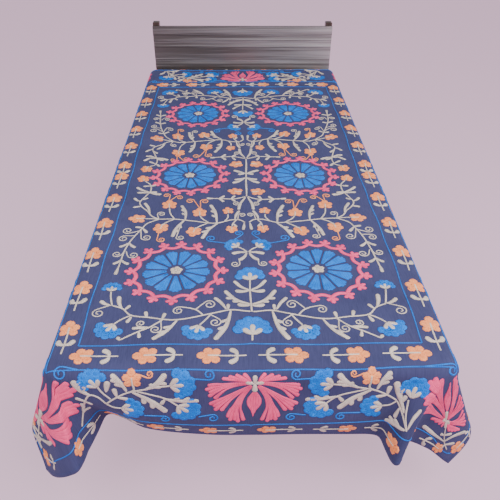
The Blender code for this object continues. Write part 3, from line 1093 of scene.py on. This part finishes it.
        # swing from the axis, length, width at the end, width at two places before it, bow outwards, rows
        petals = (
            (19, 130, 50, 0.24, 0.38, 14, 5), (49, 121, 43, 0.26, 0.46, 3, 4),
            (73, 107, 52, 0.2, 0.4, 9, 5),
        )
        for hand in (1, -1):
            for swing, length, width, near, far, bow, rows in petals:
                out = ray(hand * (swing + 90))
                for j in range(rows):
                    share = (j + 0.5) / rows - 0.5
                    reach = length * (1 - 0.25 * share**2) + (3.0 if j % 2 else -3.0)
                    spots = ((0.08, 0.08), (0.38, near), (0.65, far), (0.85, 0.76), (1.0, 1.0))
                    path = []
                    for f, wide in spots:
                        spot = ray(hand * swing, reach * f) + out * (
                            4 * f * (1 - f) * bow + share * wide * width
                        )
                        path.append(spread(spot))
                    self.row(Thread.PINK, path, width / rows * size, Profile.FAN, 1.0)
            for tip in ((-25, 24), (-22, 41), (-18, 56), (-13, 70)):
                path = [(-4, 8), (tip[0] * 0.35 - 5, tip[1] * 0.55), tip]
                self.row(Thread.PINK, [spread((f, hand * g)) for f, g in path], 8.0 * size, Profile.CLUB, 1.0)
        for tip, wide in (((-3, 20), 12), ((-3, -20), 12), ((26, 0), 12), ((-21, 1), 10)):
            self.row(Thread.SAND, [c, spread(tip)], wide * size, Profile.CLUB, 1.6)

    def mesh(self, thread: Thread) -> bpy.types.Object:
        """Join the rows worked in one thread.

        Args:
            thread: the thread.

        Returns:
            The piece, laid on the drape.
        """
        flats, lifts, uvs, faces, first = [], [], [], [], 0
        for flat, lift, uv in self.rows[thread]:
            count, columns = lift.shape
            number = first + np.arange(count * columns).reshape(count, columns)
            ahead, around = number[1:], np.roll(number, -1, axis=1)
            quads = np.stack([number[:-1], ahead, around[1:], around[:-1]], -1).reshape(-1, 4)
            faces += quads.tolist()
            faces += [number[0].tolist(), number[-1, ::-1].tolist()]
            flats.append(flat.reshape(-1, 2))
            lifts.append(lift.ravel())
            uvs.append(uv.reshape(-1, 2))
            first += count * columns
        flat, lift = np.vstack(flats), np.concatenate(lifts)
        verts = self.drape.points(flat) + self.drape.normals(flat) * lift[:, None]
        piece = make_piece(thread.value, verts, faces, np.vstack(uvs), "stitch")
        piece.data.materials.append(THREADS[thread].build())
        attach(piece, "root")
        return piece


@dataclass
class Pattern:
    """The layout of the embroidery: a field of medallions and vines in three borders."""

    drape: Drape
    field_shift: float = -0.0075  # the field's motifs are centred this much nearer the foot than its lines
    line_width: float = 2.6
    side_inset: float = 0.011  # the inner line of the broad border lies this much nearer on the long sides

    # The field is worked out for its foot right quarter, in millimetres from the field's middle, and
    # mirrored. Stems are paths.
    stems: tuple = (
        (
            (3, -721), (45, -714), (92, -726), (172, -745), (232, -737), (278, -728), (300, -703),
            (326, -690),
        ),
        ((326, -690), (333, -660), (337, -636)), ((278, -728), (298, -742), (312, -756)),
        ((92, -726), (106, -748), (118, -764)), ((200, -742), (226, -770), (252, -786), (288, -810)),
        ((6, -320), (20, -304), (48, -304), (92, -322), (160, -311), (215, -301), (262, -300)),
        ((262, -300), (292, -322), (304, -350), (322, -405), (332, -455), (336, -505), (339, -545)),
        (
            (262, -300), (284, -282), (298, -255), (318, -228), (328, -200), (316, -165), (304, -128),
            (308, -88), (326, -62),
        ),
        ((112, -729), (126, -713), (146, -703)), ((64, -311), (54, -290), (54, -272)),
        ((110, -319), (130, -298), (138, -282)), ((215, -301), (230, -270), (234, -240)),
        ((30, -304), (40, -322), (43, -336)), ((110, -319), (136, -340), (148, -352)),
        ((215, -301), (236, -316), (247, -330)), ((262, -300), (282, -297), (302, -296)),
        ((3, -168), (40, -182), (80, -180), (116, -178)), ((2, -476), (12, -460), (26, -448)),
    )
    # Leaves: start x, start y, tip x, tip y, width, bend, teeth.
    leaves: tuple = (
        (2, -640, 42, -600, 9, -4, 0), (2, -642, 38, -640, 11, -2, 0), (2, -694, 64, -640, 10, -8, -1),
        (2, -698, 32, -692, 11, -2, 0), (58, -712, 88, -668, 9, 3, 0), (54, -713, 54, -692, 8, 0, 0),
        (302, -704, 314, -654, 10, -3, 0), (296, -708, 284, -690, 8, 0, 0),
        (328, -690, 356, -670, 10, -3, 0), (203, -742, 200, -720, 9, 0, 0), (240, -737, 246, -714, 9, 0, 0),
        (276, -732, 284, -754, 9, 0, 0), (48, -716, 84, -812, 11, -7, 1), (168, -745, 218, -812, 10, -6, 1),
        (234, -776, 268, -774, 9, 2, 0), (250, -786, 246, -806, 8, 0, 0), (288, -812, 296, -800, 9, 0, 0),
        (86, -320, 110, -216, 10, 7, -1), (182, -306, 198, -222, 9, 6, -1), (84, -322, 130, -404, 10, 6, 1),
        (184, -306, 212, -392, 10, 6, -1), (34, -304, 20, -252, 8, -3, 0), (8, -322, 12, -358, 8, 0, 0),
        (40, -322, 30, -342, 7, 0, 0), (290, -268, 312, -206, 9, 4, 0), (302, -346, 324, -342, 9, 0, 0),
        (302, -348, 286, -372, 9, 0, 0), (326, -424, 306, -446, 9, 2, 0), (328, -424, 350, -442, 9, -2, 0),
        (336, -500, 314, -520, 9, 2, 0), (336, -500, 354, -518, 9, -2, 0), (339, -534, 341, -564, 9, 0, 0),
        (320, -226, 344, -232, 9, 2, 0), (328, -196, 350, -174, 9, -3, 0), (324, -186, 306, -176, 8, 0, 0),
        (308, -140, 266, -152, 11, 4, 0), (308, -136, 282, -140, 11, 0, 0),
        (308, -138, 350, -104, 10, -4, 0), (308, -142, 346, -140, 10, 0, 0), (306, -98, 290, -88, 9, 0, 0),
        (308, -96, 330, -98, 9, 0, 0), (3, -172, 22, -246, 9, 5, 0), (48, -182, 36, -160, 8, 0, 0),
        (48, -182, 34, -196, 8, 0, 0), (86, -180, 68, -162, 9, 2, 0), (86, -180, 70, -200, 9, -2, 0),
        (102, -179, 122, -177, 10, 0, 0), (3, -476, 44, -480, 11, 4, 0), (3, -478, 26, -512, 10, -4, 0),
    )
    # Tendrils: start x, start y, middle x, middle y, radius, hand, thread.
    curls: tuple = (
        (130, -710, 98, -694, 11, 1, Thread.SAND), (144, -704, 170, -712, 10, -1, Thread.SAND),
        (94, -730, 84, -756, 10, 1, Thread.SAND), (206, -746, 214, -778, 10, 1, Thread.SAND),
        (226, -772, 250, -758, 8, 1, Thread.SAND), (332, -690, 354, -716, 11, -1, Thread.SAND),
        (26, -504, 37, -528, 9, 1, Thread.SAND), (306, -356, 284, -396, 11, -1, Thread.SAND),
        (308, -362, 342, -362, 11, 1, Thread.SAND), (316, -388, 346, -402, 10, -1, Thread.SAND),
        (328, -462, 308, -480, 10, -1, Thread.SAND), (332, -462, 350, -474, 9, 1, Thread.SAND),
        (262, -300, 256, -272, 9, 1, Thread.SAND), (26, -304, 12, -278, 8, 1, Thread.SAND),
        (192, -330, 190, -396, 9, -1, Thread.SAND), (10, -186, 30, -208, 9, 1, Thread.SAND),
        (236, -196, 206, -172, 9, 1, Thread.ORANGE), (238, -196, 248, -160, 9, -1, Thread.ORANGE),
        (140, -238, 128, -196, 10, 1, Thread.ORANGE), (142, -238, 172, -194, 10, -1, Thread.ORANGE),
        (252, -366, 242, -406, 9, -1, Thread.ORANGE), (58, -430, 104, -404, 11, 1, Thread.BLUE),
        (40, -412, 26, -376, 10, -1, Thread.BLUE),
    )
    # Apricot flowers: x, y, direction, size.
    blossoms: tuple = (
        (54, -252, 80, 0.7), (141, -262, 85, 0.92), (235, -218, 88, 0.95), (45, -353, -86, 0.72),
        (153, -366, -76, 0.9), (250, -346, -84, 0.92), (322, -296, 2, 0.92), (33, -133, 12, 0.86),
        (334, -44, 76, 0.84),
    )
    # Blue flowers: x, y, direction, size.
    carnations: tuple = (
        (337, -634, 88, 0.72), (120, -765, -78, 0.95), (313, -757, -62, 1.0), (26, -447, 42, 0.86),
    )
    # On the middle line, worked once for each half: stems, then flowers.
    axis_stems: tuple = (
        ((0, -722), (0, -660), (0, -590)), ((0, 70), (1, -30), (-1, -100), (0, -166)),
        ((0, -798), (0, -818)),
    )
    axis_carnations: tuple = ((0, -600, 90, 1.1), (0, -800, 90, 1.25))
    head_axis_carnations: tuple = ((0, -580, 90, 1.1), (0, -800, 90, 1.2))
    # On the middle line of the whole field, mirrored to the left alone: leaves.
    middle_leaves: tuple = (
        (2, -16, 42, 12, 11, 3, 0), (2, -14, 26, -16, 11, 0, 0), (2, -44, 42, -76, 11, -3, 0),
        (2, -44, 36, -54, 10, 0, 0),
    )
    # Medallions of a half: x, y.
    medallions: tuple = ((185, -552), (181, -22), (183, 522))

    # The broad border's plant, in millimetres along the border from a palmette's axis and, with its sign
    # turned, outwards from the border's inner line.
    plant_stems: tuple = (
        ((318, -94), (295, -76), (265, -58), (229, -48), (199, -41), (172, -38)),
        ((246, -54), (214, -64), (184, -76), (160, -98)), ((262, -57), (252, -50), (252, -36)),
    )
    plant_leaves: tuple = (
        (229, -50, 181, -8, 12, 5, 1), (257, -56, 186, -118, 13, -5, 1), (190, -76, 114, -84, 10, 4, -1),
        (186, -78, 196, -94, 9, 0, 0), (210, -46, 214, -30, 9, 0, 0), (268, -56, 297, -8, 11, 4, -1),
        (292, -74, 266, -80, 9, 0, 0), (292, -72, 296, -46, 10, 0, 0),
    )
    plant_blossoms: tuple = ((254, -20, 88, 0.86),)
    plant_carnations: tuple = ((172, -38, 176, 1.1), (160, -98, 222, 1.05), (284, -108, 193, 1.0))
    plant_curls: tuple = (
        (124, -20, 90, -10, 9, -1, Thread.BLUE), (118, -134, 86, -140, 9, 1, Thread.BLUE),
        (238, -132, 194, -144, 9, 1, Thread.BLUE), (238, -8, 216, -8, 6, -1, Thread.ORANGE),
    )
    # The plant's outer end, as it grows nearly everywhere, and as it grows at the left of the foot.
    outer_end: tuple = (
        (
            ((367, -156), (342, -122), (318, -94)), ((367, -156), (352, -124), (345, -84)),
            ((318, -94), (302, -106), (284, -108)),
        ),
        (
            (345, -118, 308, -34, 13, 6, -1), (362, -154, 302, -168, 12, -4, -1),
            (368, -152, 390, -104, 12, 4, 0), (330, -110, 324, -142, 9, 0, 0),
        ),
        (), (), ((350, -78, 84, 1.08),),
    )
    left_outer_end: tuple = (
        (
            ((306, -80), (322, -60), (330, -42)),
            ((318, -94), (335, -72), (356, -70), (383, -130), (405, -176)),
            ((318, -94), (302, -106), (284, -108)),
        ),
        (
            (350, -68, 379, -22, 14, -6, 1), (314, -58, 306, -24, 12, 0, 0), (364, -88, 384, -74, 9, 0, 0),
            (364, -88, 352, -104, 9, 0, 0), (386, -134, 376, -96, 9, 3, 0),
            (390, -140, 364, -130, 10, -3, 0),
        ),
        (), (), ((330, -42, 56, 0.95),),
    )
    # Flowers of the hem row along the foot: place along it and the direction in which each points.
    foot_hem_sprigs: tuple = (
        (-641, 180), (-442, 180), (-330, 180), (-221, 180), (-95, 180), (37, 180), (217, 0), (337, 0),
        (466, 0),
    )
    # Corner palmettes, from the inner line's corner outwards: side, end, place, ahead, aside.
    corner_palmettes: tuple = (
        (1, -1, (94, 131), (-0.98, -0.87), (0.88, -0.14)),
        (-1, -1, (140, 104), (-1.28, -0.79), (-1.1, 0.72)),
        (1, 1, (112, 112), (-0.75, -0.75), (0.75, -0.75)),
        (-1, 1, (112, 112), (-0.75, -0.75), (0.75, -0.75)),
    )
    # The outermost line near the foot's corners: distances from the field's middle across and along.
    foot_bend: tuple = (
        (0, 1085), (30, 1076), (300, 1075), (400, 1086), (470, 1097), (547, 1103), (600, 1112), (640, 1117),
        (664, 1108), (671, 1084), (664, 1035), (645, 965), (625, 905), (619, 860),
    )

    def work(self, needle: Needle) -> None:
        """Work the whole cloth."""
        self.work_field(needle)
        self.work_lines(needle)
        self.work_borders(needle)
        self.work_corners(needle)

    def work_tables(
        self, needle: Needle, stems: tuple, leaves: tuple, curls: tuple, blossoms: tuple, carnations: tuple
    ) -> None:
        """Work one set of tables at the needle's place."""
        for path in stems:
            needle.row(Thread.SAND, path, 4.4, Profile.LINE, 0.9)
        for x0, y0, x1, y1, width, bend, teeth in leaves:
            needle.leaf((x0, y0), (x1, y1), width, bend, teeth)
        for x0, y0, cx, cy, radius, hand, thread in curls:
            needle.curl((x0, y0), (cx, cy), radius, hand, thread)
        for x, y, turn, size in blossoms:
            needle.blossom(x, y, turn, size)
        for x, y, turn, size in carnations:
            needle.carnation(x, y, turn, size)

    def work_field(self, needle: Needle) -> None:
        """Work the field: quarters, the middle line and the six medallions."""
        for flip_y in (1, -1):
            for flip_x in (1, -1):
                needle.place = Place(y=self.field_shift, flip_x=flip_x, flip_y=flip_y, drawn_in=flip_y < 0)
                self.work_tables(needle, self.stems, self.leaves, self.curls, self.blossoms, self.carnations)
            needle.place = Place(y=self.field_shift, flip_y=flip_y, drawn_in=flip_y < 0)
            carnations = self.axis_carnations if flip_y > 0 else self.head_axis_carnations
            self.work_tables(needle, self.axis_stems, (), (), (), carnations)
        for flip_x in (1, -1):
            needle.place = Place(y=self.field_shift, flip_x=flip_x)
            self.work_tables(needle, (), self.middle_leaves, (), (), ())
        for k, (x, y) in enumerate(self.medallions):
            for side in (-1, 1):
                needle.place = Place((side * x - 3) * MM, y * MM + self.field_shift, stretch=0.96)
                needle.medallion(0, 0, tilt=7.0 * k + 5 * side)

    def work_lines(self, needle: Needle) -> None:
        """Work the thin blue lines between field and borders."""
        d = self.drape
        needle.place = Place()
        for out, inset in (
            (0.0, 0.0), (d.inner_border, self.side_inset), (d.inner_border + d.broad_border, 0.0)
        ):
            x, y = (d.field_width / 2 + out - inset) / MM, (d.field_length / 2 + out) / MM
            corners = [(-x, -y), (x, -y), (x, y), (-x, y), (-x, -y)]
            if out > d.broad_border:
                for side in (-1, 1):
                    bend = [(side * across, -along) for across, along in self.foot_bend]
                    needle.row(Thread.BLUE, bend, self.line_width, Profile.LINE, 0.8)
                begin = self.foot_bend[-1][1]
                corners = [(x, -begin), (x, y), (-x, y), (-x, -begin)]
            for (x0, y0), (x1, y1) in zip(corners, corners[1:]):
                count = 24
                path = [(x0 + (x1 - x0) * k / count, y0 + (y1 - y0) * k / count) for k in range(count + 1)]
                needle.row(Thread.BLUE, path, self.line_width, Profile.LINE, 0.8)

    def sides(self) -> tuple:
        """The four borders: origin x and y, turn, half length of the inner line, and palmette axes."""
        d = self.drape
        x, y = d.field_width / 2 + d.inner_border, d.field_length / 2 + d.inner_border
        return (
            (0.0, -y, 0, x, (0.0,), 1.0, True),
            (0.0, y, 180, x, (0.0,), 1.0, True),
            (x, 0.0, 90, y, (0.0, 0.490), 0.92, False),
            (-x, 0.0, -90, y, (0.0, 0.490), 0.92, False),
        )

    def work_borders(self, needle: Needle) -> None:
        """Work the sprigs of both narrow borders and the palmettes and plants of the broad one."""
        d = self.drape
        middle_out = -(d.broad_border + d.outer_border / 2) / MM
        for x, y, turn, half, axes, stretch, short in self.sides():
            for flip in (1, -1):
                needle.place = Place(x, y, turn, flip)
                if short:
                    for along in (90, 226, 362):
                        needle.sprig(along, 37, 0, 78, 59)
                else:
                    head_half = flip * turn > 0
                    first, pitch = (52, 155) if head_half else (32, 149)
                    for k in range(6):
                        needle.sprig(first + pitch * k, 37, 0 if head_half else 180, 84, 56)
                for axis in axes:
                    needle.place = Place(x, y, turn, flip)
                    if axis or flip > 0:
                        needle.palmette(
                            axis / MM + (3 if y < 0 else 0), -30 if short else -40, (0, -1), (0.95, 0)
                        )
                    sx = math.cos(math.radians(turn)) * axis * flip
                    sy = math.sin(math.radians(turn)) * axis * flip
                    needle.place = Place(x + sx, y + sy, turn, flip, stretch=stretch)
                    self.work_tables(
                        needle,
                        self.plant_stems,
                        self.plant_leaves,
                        self.plant_curls,
                        self.plant_blossoms,
                        self.plant_carnations,
                    )
                    self.work_tables(needle, *(self.left_outer_end if y < 0 and flip < 0 else self.outer_end))
            needle.place = Place(x, y, turn)
            reach = (half + d.broad_border + d.outer_border) / MM
            pitch = 122.0
            count = round((2 * reach - 100) / pitch)
            sprigs = [(-reach + 60 + (2 * reach - 70) * k / count, 180) for k in range(count)]
            for k, (along, way) in enumerate(self.foot_hem_sprigs if short and y < 0 else sprigs):
                nearer_hem = 0 if short or k else 12
                needle.sprig(along, middle_out - nearer_hem, way, 78, 60, 0.82)
            if short and y < 0:
                needle.sprig(606, middle_out - 11, 3, 78, 60, 0.8)

    def work_corners(self, needle: Needle) -> None:
        """Work the corner palmettes, the sprays outside them and the curls at the inner line's corners."""
        d = self.drape
        x, y = d.field_width / 2 + d.inner_border, d.field_length / 2 + d.inner_border
        for side, end, cup, ahead, aside in self.corner_palmettes:
            needle.place = Place(side * x, end * y, 0, side, end)
            needle.palmette(*cup, ahead, aside)
            cx, cy = cup
            needle.row(Thread.SAND, [(cx + 20, cy + 16), (cx + 60, cy + 52), (cx + 96, cy + 70)], 4.4)
            needle.leaf((cx + 60, cy + 54), (cx - 46, cy + 50), 10, -6)
            needle.leaf((cx + 60, cy + 54), (cx + 104, cy - 4), 10, -6)
            for tip in ((26, 44), (62, 20)):
                needle.leaf((cx + 42, cy + 38), (cx + tip[0], cy + tip[1]), 9)
            for tip in ((72, 84), (100, 42)):
                needle.leaf((cx + 74, cy + 60), (cx + tip[0], cy + tip[1]), 9)
            needle.curl((-84, 0), (-20 if side > 0 else -46, 6), 11, 1, Thread.BLUE)
            needle.curl((2, -50), (12, -16), 12, -1, Thread.BLUE)


@dataclass
class HemStitches:
    """The hem's running stitches, set along the cloth's edge by a node tree."""

    drape: Drape
    pitch: float = 0.0075
    inset: float = 0.0085
    length: float = 0.0048
    width: float = 0.0011
    colour_dark: str = "1B2148"
    colour_light: str = "4A5796"

    def spots(self) -> tuple[np.ndarray, np.ndarray]:
        """Where the stitches go.

        Returns:
            Their points in the row frame, and their turns as Euler angles.
        """
        d = self.drape
        x, y = d.width / 2 - self.inset, d.length / 2 - self.inset
        corners = ((-x, -y), (x, -y), (x, y), (-x, y), (-x, -y))
        flats, ways = [], []
        for (x0, y0), (x1, y1) in zip(corners, corners[1:]):
            span = math.hypot(x1 - x0, y1 - y0)
            count = int(span / self.pitch)
            share = (np.arange(count) + 0.5)[:, None] / count
            flats.append(np.array([x0, y0]) * (1 - share) + np.array([x1, y1]) * share)
            ways.append(np.repeat([[(x1 - x0) / span, (y1 - y0) / span]], count, 0))
        flat, way = np.vstack(flats), np.vstack(ways)
        normal = d.normals(flat)
        points = d.points(flat) + normal * 0.0004
        ahead = d.points(flat + way * 0.002) - d.points(flat - way * 0.002)
        ahead /= np.linalg.norm(ahead, axis=1)[:, None]
        turns = []
        for a, n in zip(ahead, normal):
            frame = Matrix((Vector(a), Vector(n).cross(Vector(a)), Vector(n))).transposed()
            turns.append(frame.to_euler())
        return points, np.array(turns)

    def tree(self, material: bpy.types.Material) -> bpy.types.NodeTree:
        """Build the node tree that sets one stitch at each point.

        Args:
            material: the stitches' material.

        Returns:
            The tree, with named inputs for a stitch's length and width.
        """
        tree = bpy.data.node_groups.new("hem_running_stitch", "GeometryNodeTree")
        tree.interface.new_socket("Points", in_out="INPUT", socket_type="NodeSocketGeometry")
        for name in ("Stitch Length", "Stitch Width"):
            tree.interface.new_socket(name, in_out="INPUT", socket_type="NodeSocketFloat")
        tree.interface.new_socket("Stitches", in_out="OUTPUT", socket_type="NodeSocketGeometry")
        given = add_node(tree, "NodeGroupInput")
        ball = add_node(tree, "GeometryNodeMeshIcoSphere", {"Radius": 0.5, "Subdivisions": 1}).outputs["Mesh"]
        size = add_node(
            tree,
            "ShaderNodeCombineXYZ",
            {
                "X": given.outputs["Stitch Length"],
                "Y": given.outputs["Stitch Width"],
                "Z": given.outputs["Stitch Width"],
            },
        ).outputs[0]
        stitch = add_node(tree, "GeometryNodeTransform", {"Geometry": ball, "Scale": size}).outputs[0]
        turn = add_node(tree, "GeometryNodeInputNamedAttribute", {"Name": "turn"}, data_type="FLOAT_VECTOR")
        set_down = add_node(
            tree,
            "GeometryNodeInstanceOnPoints",
            {"Points": given.outputs["Points"], "Instance": stitch, "Rotation": turn.outputs["Attribute"]},
        ).outputs["Instances"]
        real = add_node(tree, "GeometryNodeRealizeInstances", {"Geometry": set_down}).outputs["Geometry"]
        done = add_node(
            tree, "GeometryNodeSetMaterial", {"Geometry": real, "Material": material}
        ).outputs["Geometry"]
        add_node(tree, "NodeGroupOutput", {"Stitches": done})
        return tree

    def build(self) -> bpy.types.Object:
        """Build the stitches.

        Returns:
            One plain mesh of all of them.
        """
        points, turns = self.spots()
        seed = bpy.data.meshes.new("hem_points")
        seed.from_pydata(points.tolist(), [], [])
        seed.attributes.new("turn", "FLOAT_VECTOR", "POINT").data.foreach_set(
            "vector", turns.astype(np.float32).ravel()
        )
        holder = bpy.data.objects.new("hem_points", seed)
        bpy.context.scene.collection.objects.link(holder)
        finish = CottonCloth(self.colour_dark, self.colour_light, 1.2, "navy_sewing_cotton")
        material = finish.build()
        modifier = holder.modifiers.new("stitches", "NODES")
        modifier.node_group = self.tree(material)
        for item in modifier.node_group.interface.items_tree:
            if item.in_out == "INPUT" and item.name == "Stitch Length":
                modifier[item.identifier] = self.length
            if item.in_out == "INPUT" and item.name == "Stitch Width":
                modifier[item.identifier] = self.width
        graph = bpy.context.evaluated_depsgraph_get()
        mesh = bpy.data.meshes.new_from_object(holder.evaluated_get(graph), depsgraph=graph)
        bpy.data.objects.remove(holder)
        mesh.name = "hem_stitches"
        if not mesh.materials:
            mesh.materials.append(material)
        piece = bpy.data.objects.new("hem_stitches", mesh)
        bpy.context.scene.collection.objects.link(piece)
        mesh.polygons.foreach_set("use_smooth", np.ones(len(mesh.polygons), bool))
        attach(piece, "root")
        return piece


# Bed and studio


@dataclass
class Bed:
    """The bed's solids, which keep their shape and get their finishes."""

    nodes: dict
    steel: BrushedSteel = field(default_factory=BrushedSteel)
    ticking: Ticking = field(default_factory=Ticking)

    def dress(self) -> None:
        """Put the finishes on the solids' own material slots."""
        deck = Timber("planed_pine_board", "5E3F28", "8A6442", "Y").build()
        leg = Timber("turned_brown_beech", "4A2F1E", "7A5236", "Z").build()
        post = Timber("dark_stained_beech", "20130F", "4A332B", "Z", 0.4).build()
        steel, ticking = self.steel.build(), self.ticking.build()
        finishes = {
            "mattress": ticking,
            "deck": deck,
            "headboard": steel,
            "post_left": post,
            "post_right": post,
            "leg_foot_left": leg,
            "leg_foot_right": leg,
            "leg_head_left": leg,
            "leg_head_right": leg,
        }
        for name, material in finishes.items():
            slots = self.nodes[name].material_slots
            for slot in slots:
                slot.material = material
            LOG.info("%s: %d slots dressed as %s", name, len(slots), material.name)


@dataclass
class Studio:
    """Pale lilac floor, soft light and the camera."""

    shift_x: float
    shift_y: float
    focal_px: float = 595.1
    frame_px: float = 500.0
    pitch: float = 34.36
    yaw: float = 1.52
    roll: float = 0.44
    stand: tuple = (-0.0311, -1.8946, 1.3896)
    floor_reach: float = 14.0
    floor_colour: str = "8E7486"
    floor_glow: str = "D8B4CA"

    def floor(self) -> None:
        """Lay the floor, with a little light of its own so that shadows stay faint."""
        r = self.floor_reach
        mesh = bpy.data.meshes.new("studio_floor")
        mesh.from_pydata([(-r, -r, 0), (r, -r, 0), (r, r, 0), (-r, r, 0)], [], [(0, 1, 2, 3)])
        material = bpy.data.materials.new("matt_lilac_paper")
        material.use_nodes = True
        shader = material.node_tree.nodes["Principled BSDF"]
        shader.inputs["Base Color"].default_value = linear(self.floor_colour)
        shader.inputs["Roughness"].default_value = 1.0
        shader.inputs["Specular IOR Level"].default_value = 0.0
        shader.inputs["Emission Color"].default_value = linear(self.floor_glow)
        shader.inputs["Emission Strength"].default_value = 1.02
        mesh.materials.append(material)
        floor = bpy.data.objects.new("studio_floor", mesh)
        bpy.context.scene.collection.objects.link(floor)

    def lights(self) -> None:
        """Hang two broad soft lamps, a small low one that lifts the headboard, and an even surround."""
        world = bpy.data.worlds.new("studio")
        bpy.context.scene.world = world
        world.use_nodes = True
        ground = world.node_tree.nodes["Background"]
        ground.inputs["Color"].default_value = (0.93, 0.93, 1.0, 1.0)
        ground.inputs["Strength"].default_value = 0.56
        lamps = (
            # name, place, target, size, power
            ("key_lamp", (1.6, -2.1, 3.1), (0.0, -0.6, 0.4), 2.2, 165.0),
            ("fill_lamp", (-1.8, -2.2, 2.8), (0.0, -0.7, 0.3), 2.2, 80.0),
            ("low_lamp", (2.0, -0.6, 0.9), (0.2, 1.0, 0.6), 0.6, 9.0),
        )
        for name, place, target, size, power in lamps:
            lamp = bpy.data.lights.new(name, "AREA")
            lamp.size, lamp.energy = size, power
            holder = bpy.data.objects.new(name, lamp)
            holder.location = place
            holder.rotation_euler = (Vector(target) - Vector(place)).to_track_quat("-Z", "Y").to_euler()
            bpy.context.scene.collection.objects.link(holder)

    def camera(self) -> None:
        """Set the camera where the photograph's stood, as solved from the cloth's border lines."""
        pitch, yaw, roll = (math.radians(v) for v in (self.pitch, self.yaw, self.roll))
        forward = Vector(
            (math.sin(yaw) * math.cos(pitch), math.cos(yaw) * math.cos(pitch), -math.sin(pitch))
        )
        level = Vector((math.cos(yaw), -math.sin(yaw), 0.0))
        upright = level.cross(forward)
        right = level * math.cos(roll) + upright * math.sin(roll)
        up = upright * math.cos(roll) - level * math.sin(roll)
        data = bpy.data.cameras.new("camera")
        data.sensor_width = 36.0
        data.lens = self.focal_px / self.frame_px * data.sensor_width
        data.clip_end = 60.0
        camera = bpy.data.objects.new("camera", data)
        bpy.context.scene.collection.objects.link(camera)
        turn = Matrix((right, up, -forward)).transposed().to_4x4()
        turn.translation = Vector(self.stand) + Vector((self.shift_x, self.shift_y, 0.0))
        camera.matrix_world = turn
        bpy.context.scene.camera = camera


def main() -> None:
    """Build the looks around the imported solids."""
    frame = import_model()
    low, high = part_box("headboard")
    panel_x, panel_back = 0.004, 1.0365  # the panel's middle and back face in the drape's own coordinates
    shift_x, shift_y = (low.x + high.x) / 2 - panel_x, high.y - panel_back
    LOG.info("shift of the drape: %.4f %.4f", shift_x, shift_y)
    drape = Drape(shift_x, shift_y)
    studio = Studio(shift_x, shift_y)
    studio.camera()
    studio.floor()
    studio.lights()
    Bed(frame["nodes"]).dress()
    cloth = Sheet(drape).build()
    LOG.info("bedspread_cloth: %d faces", len(cloth.data.polygons))
    needle = Needle(drape)
    Pattern(drape).work(needle)
    worked = [needle.mesh(thread) for thread in Thread]
    worked.append(HemStitches(drape).build())
    for piece in worked:
        piece.data.calc_loop_triangles()
        LOG.info("%s: %d triangles", piece.name, len(piece.data.loop_triangles))


if __name__ == "__main__":
    main()
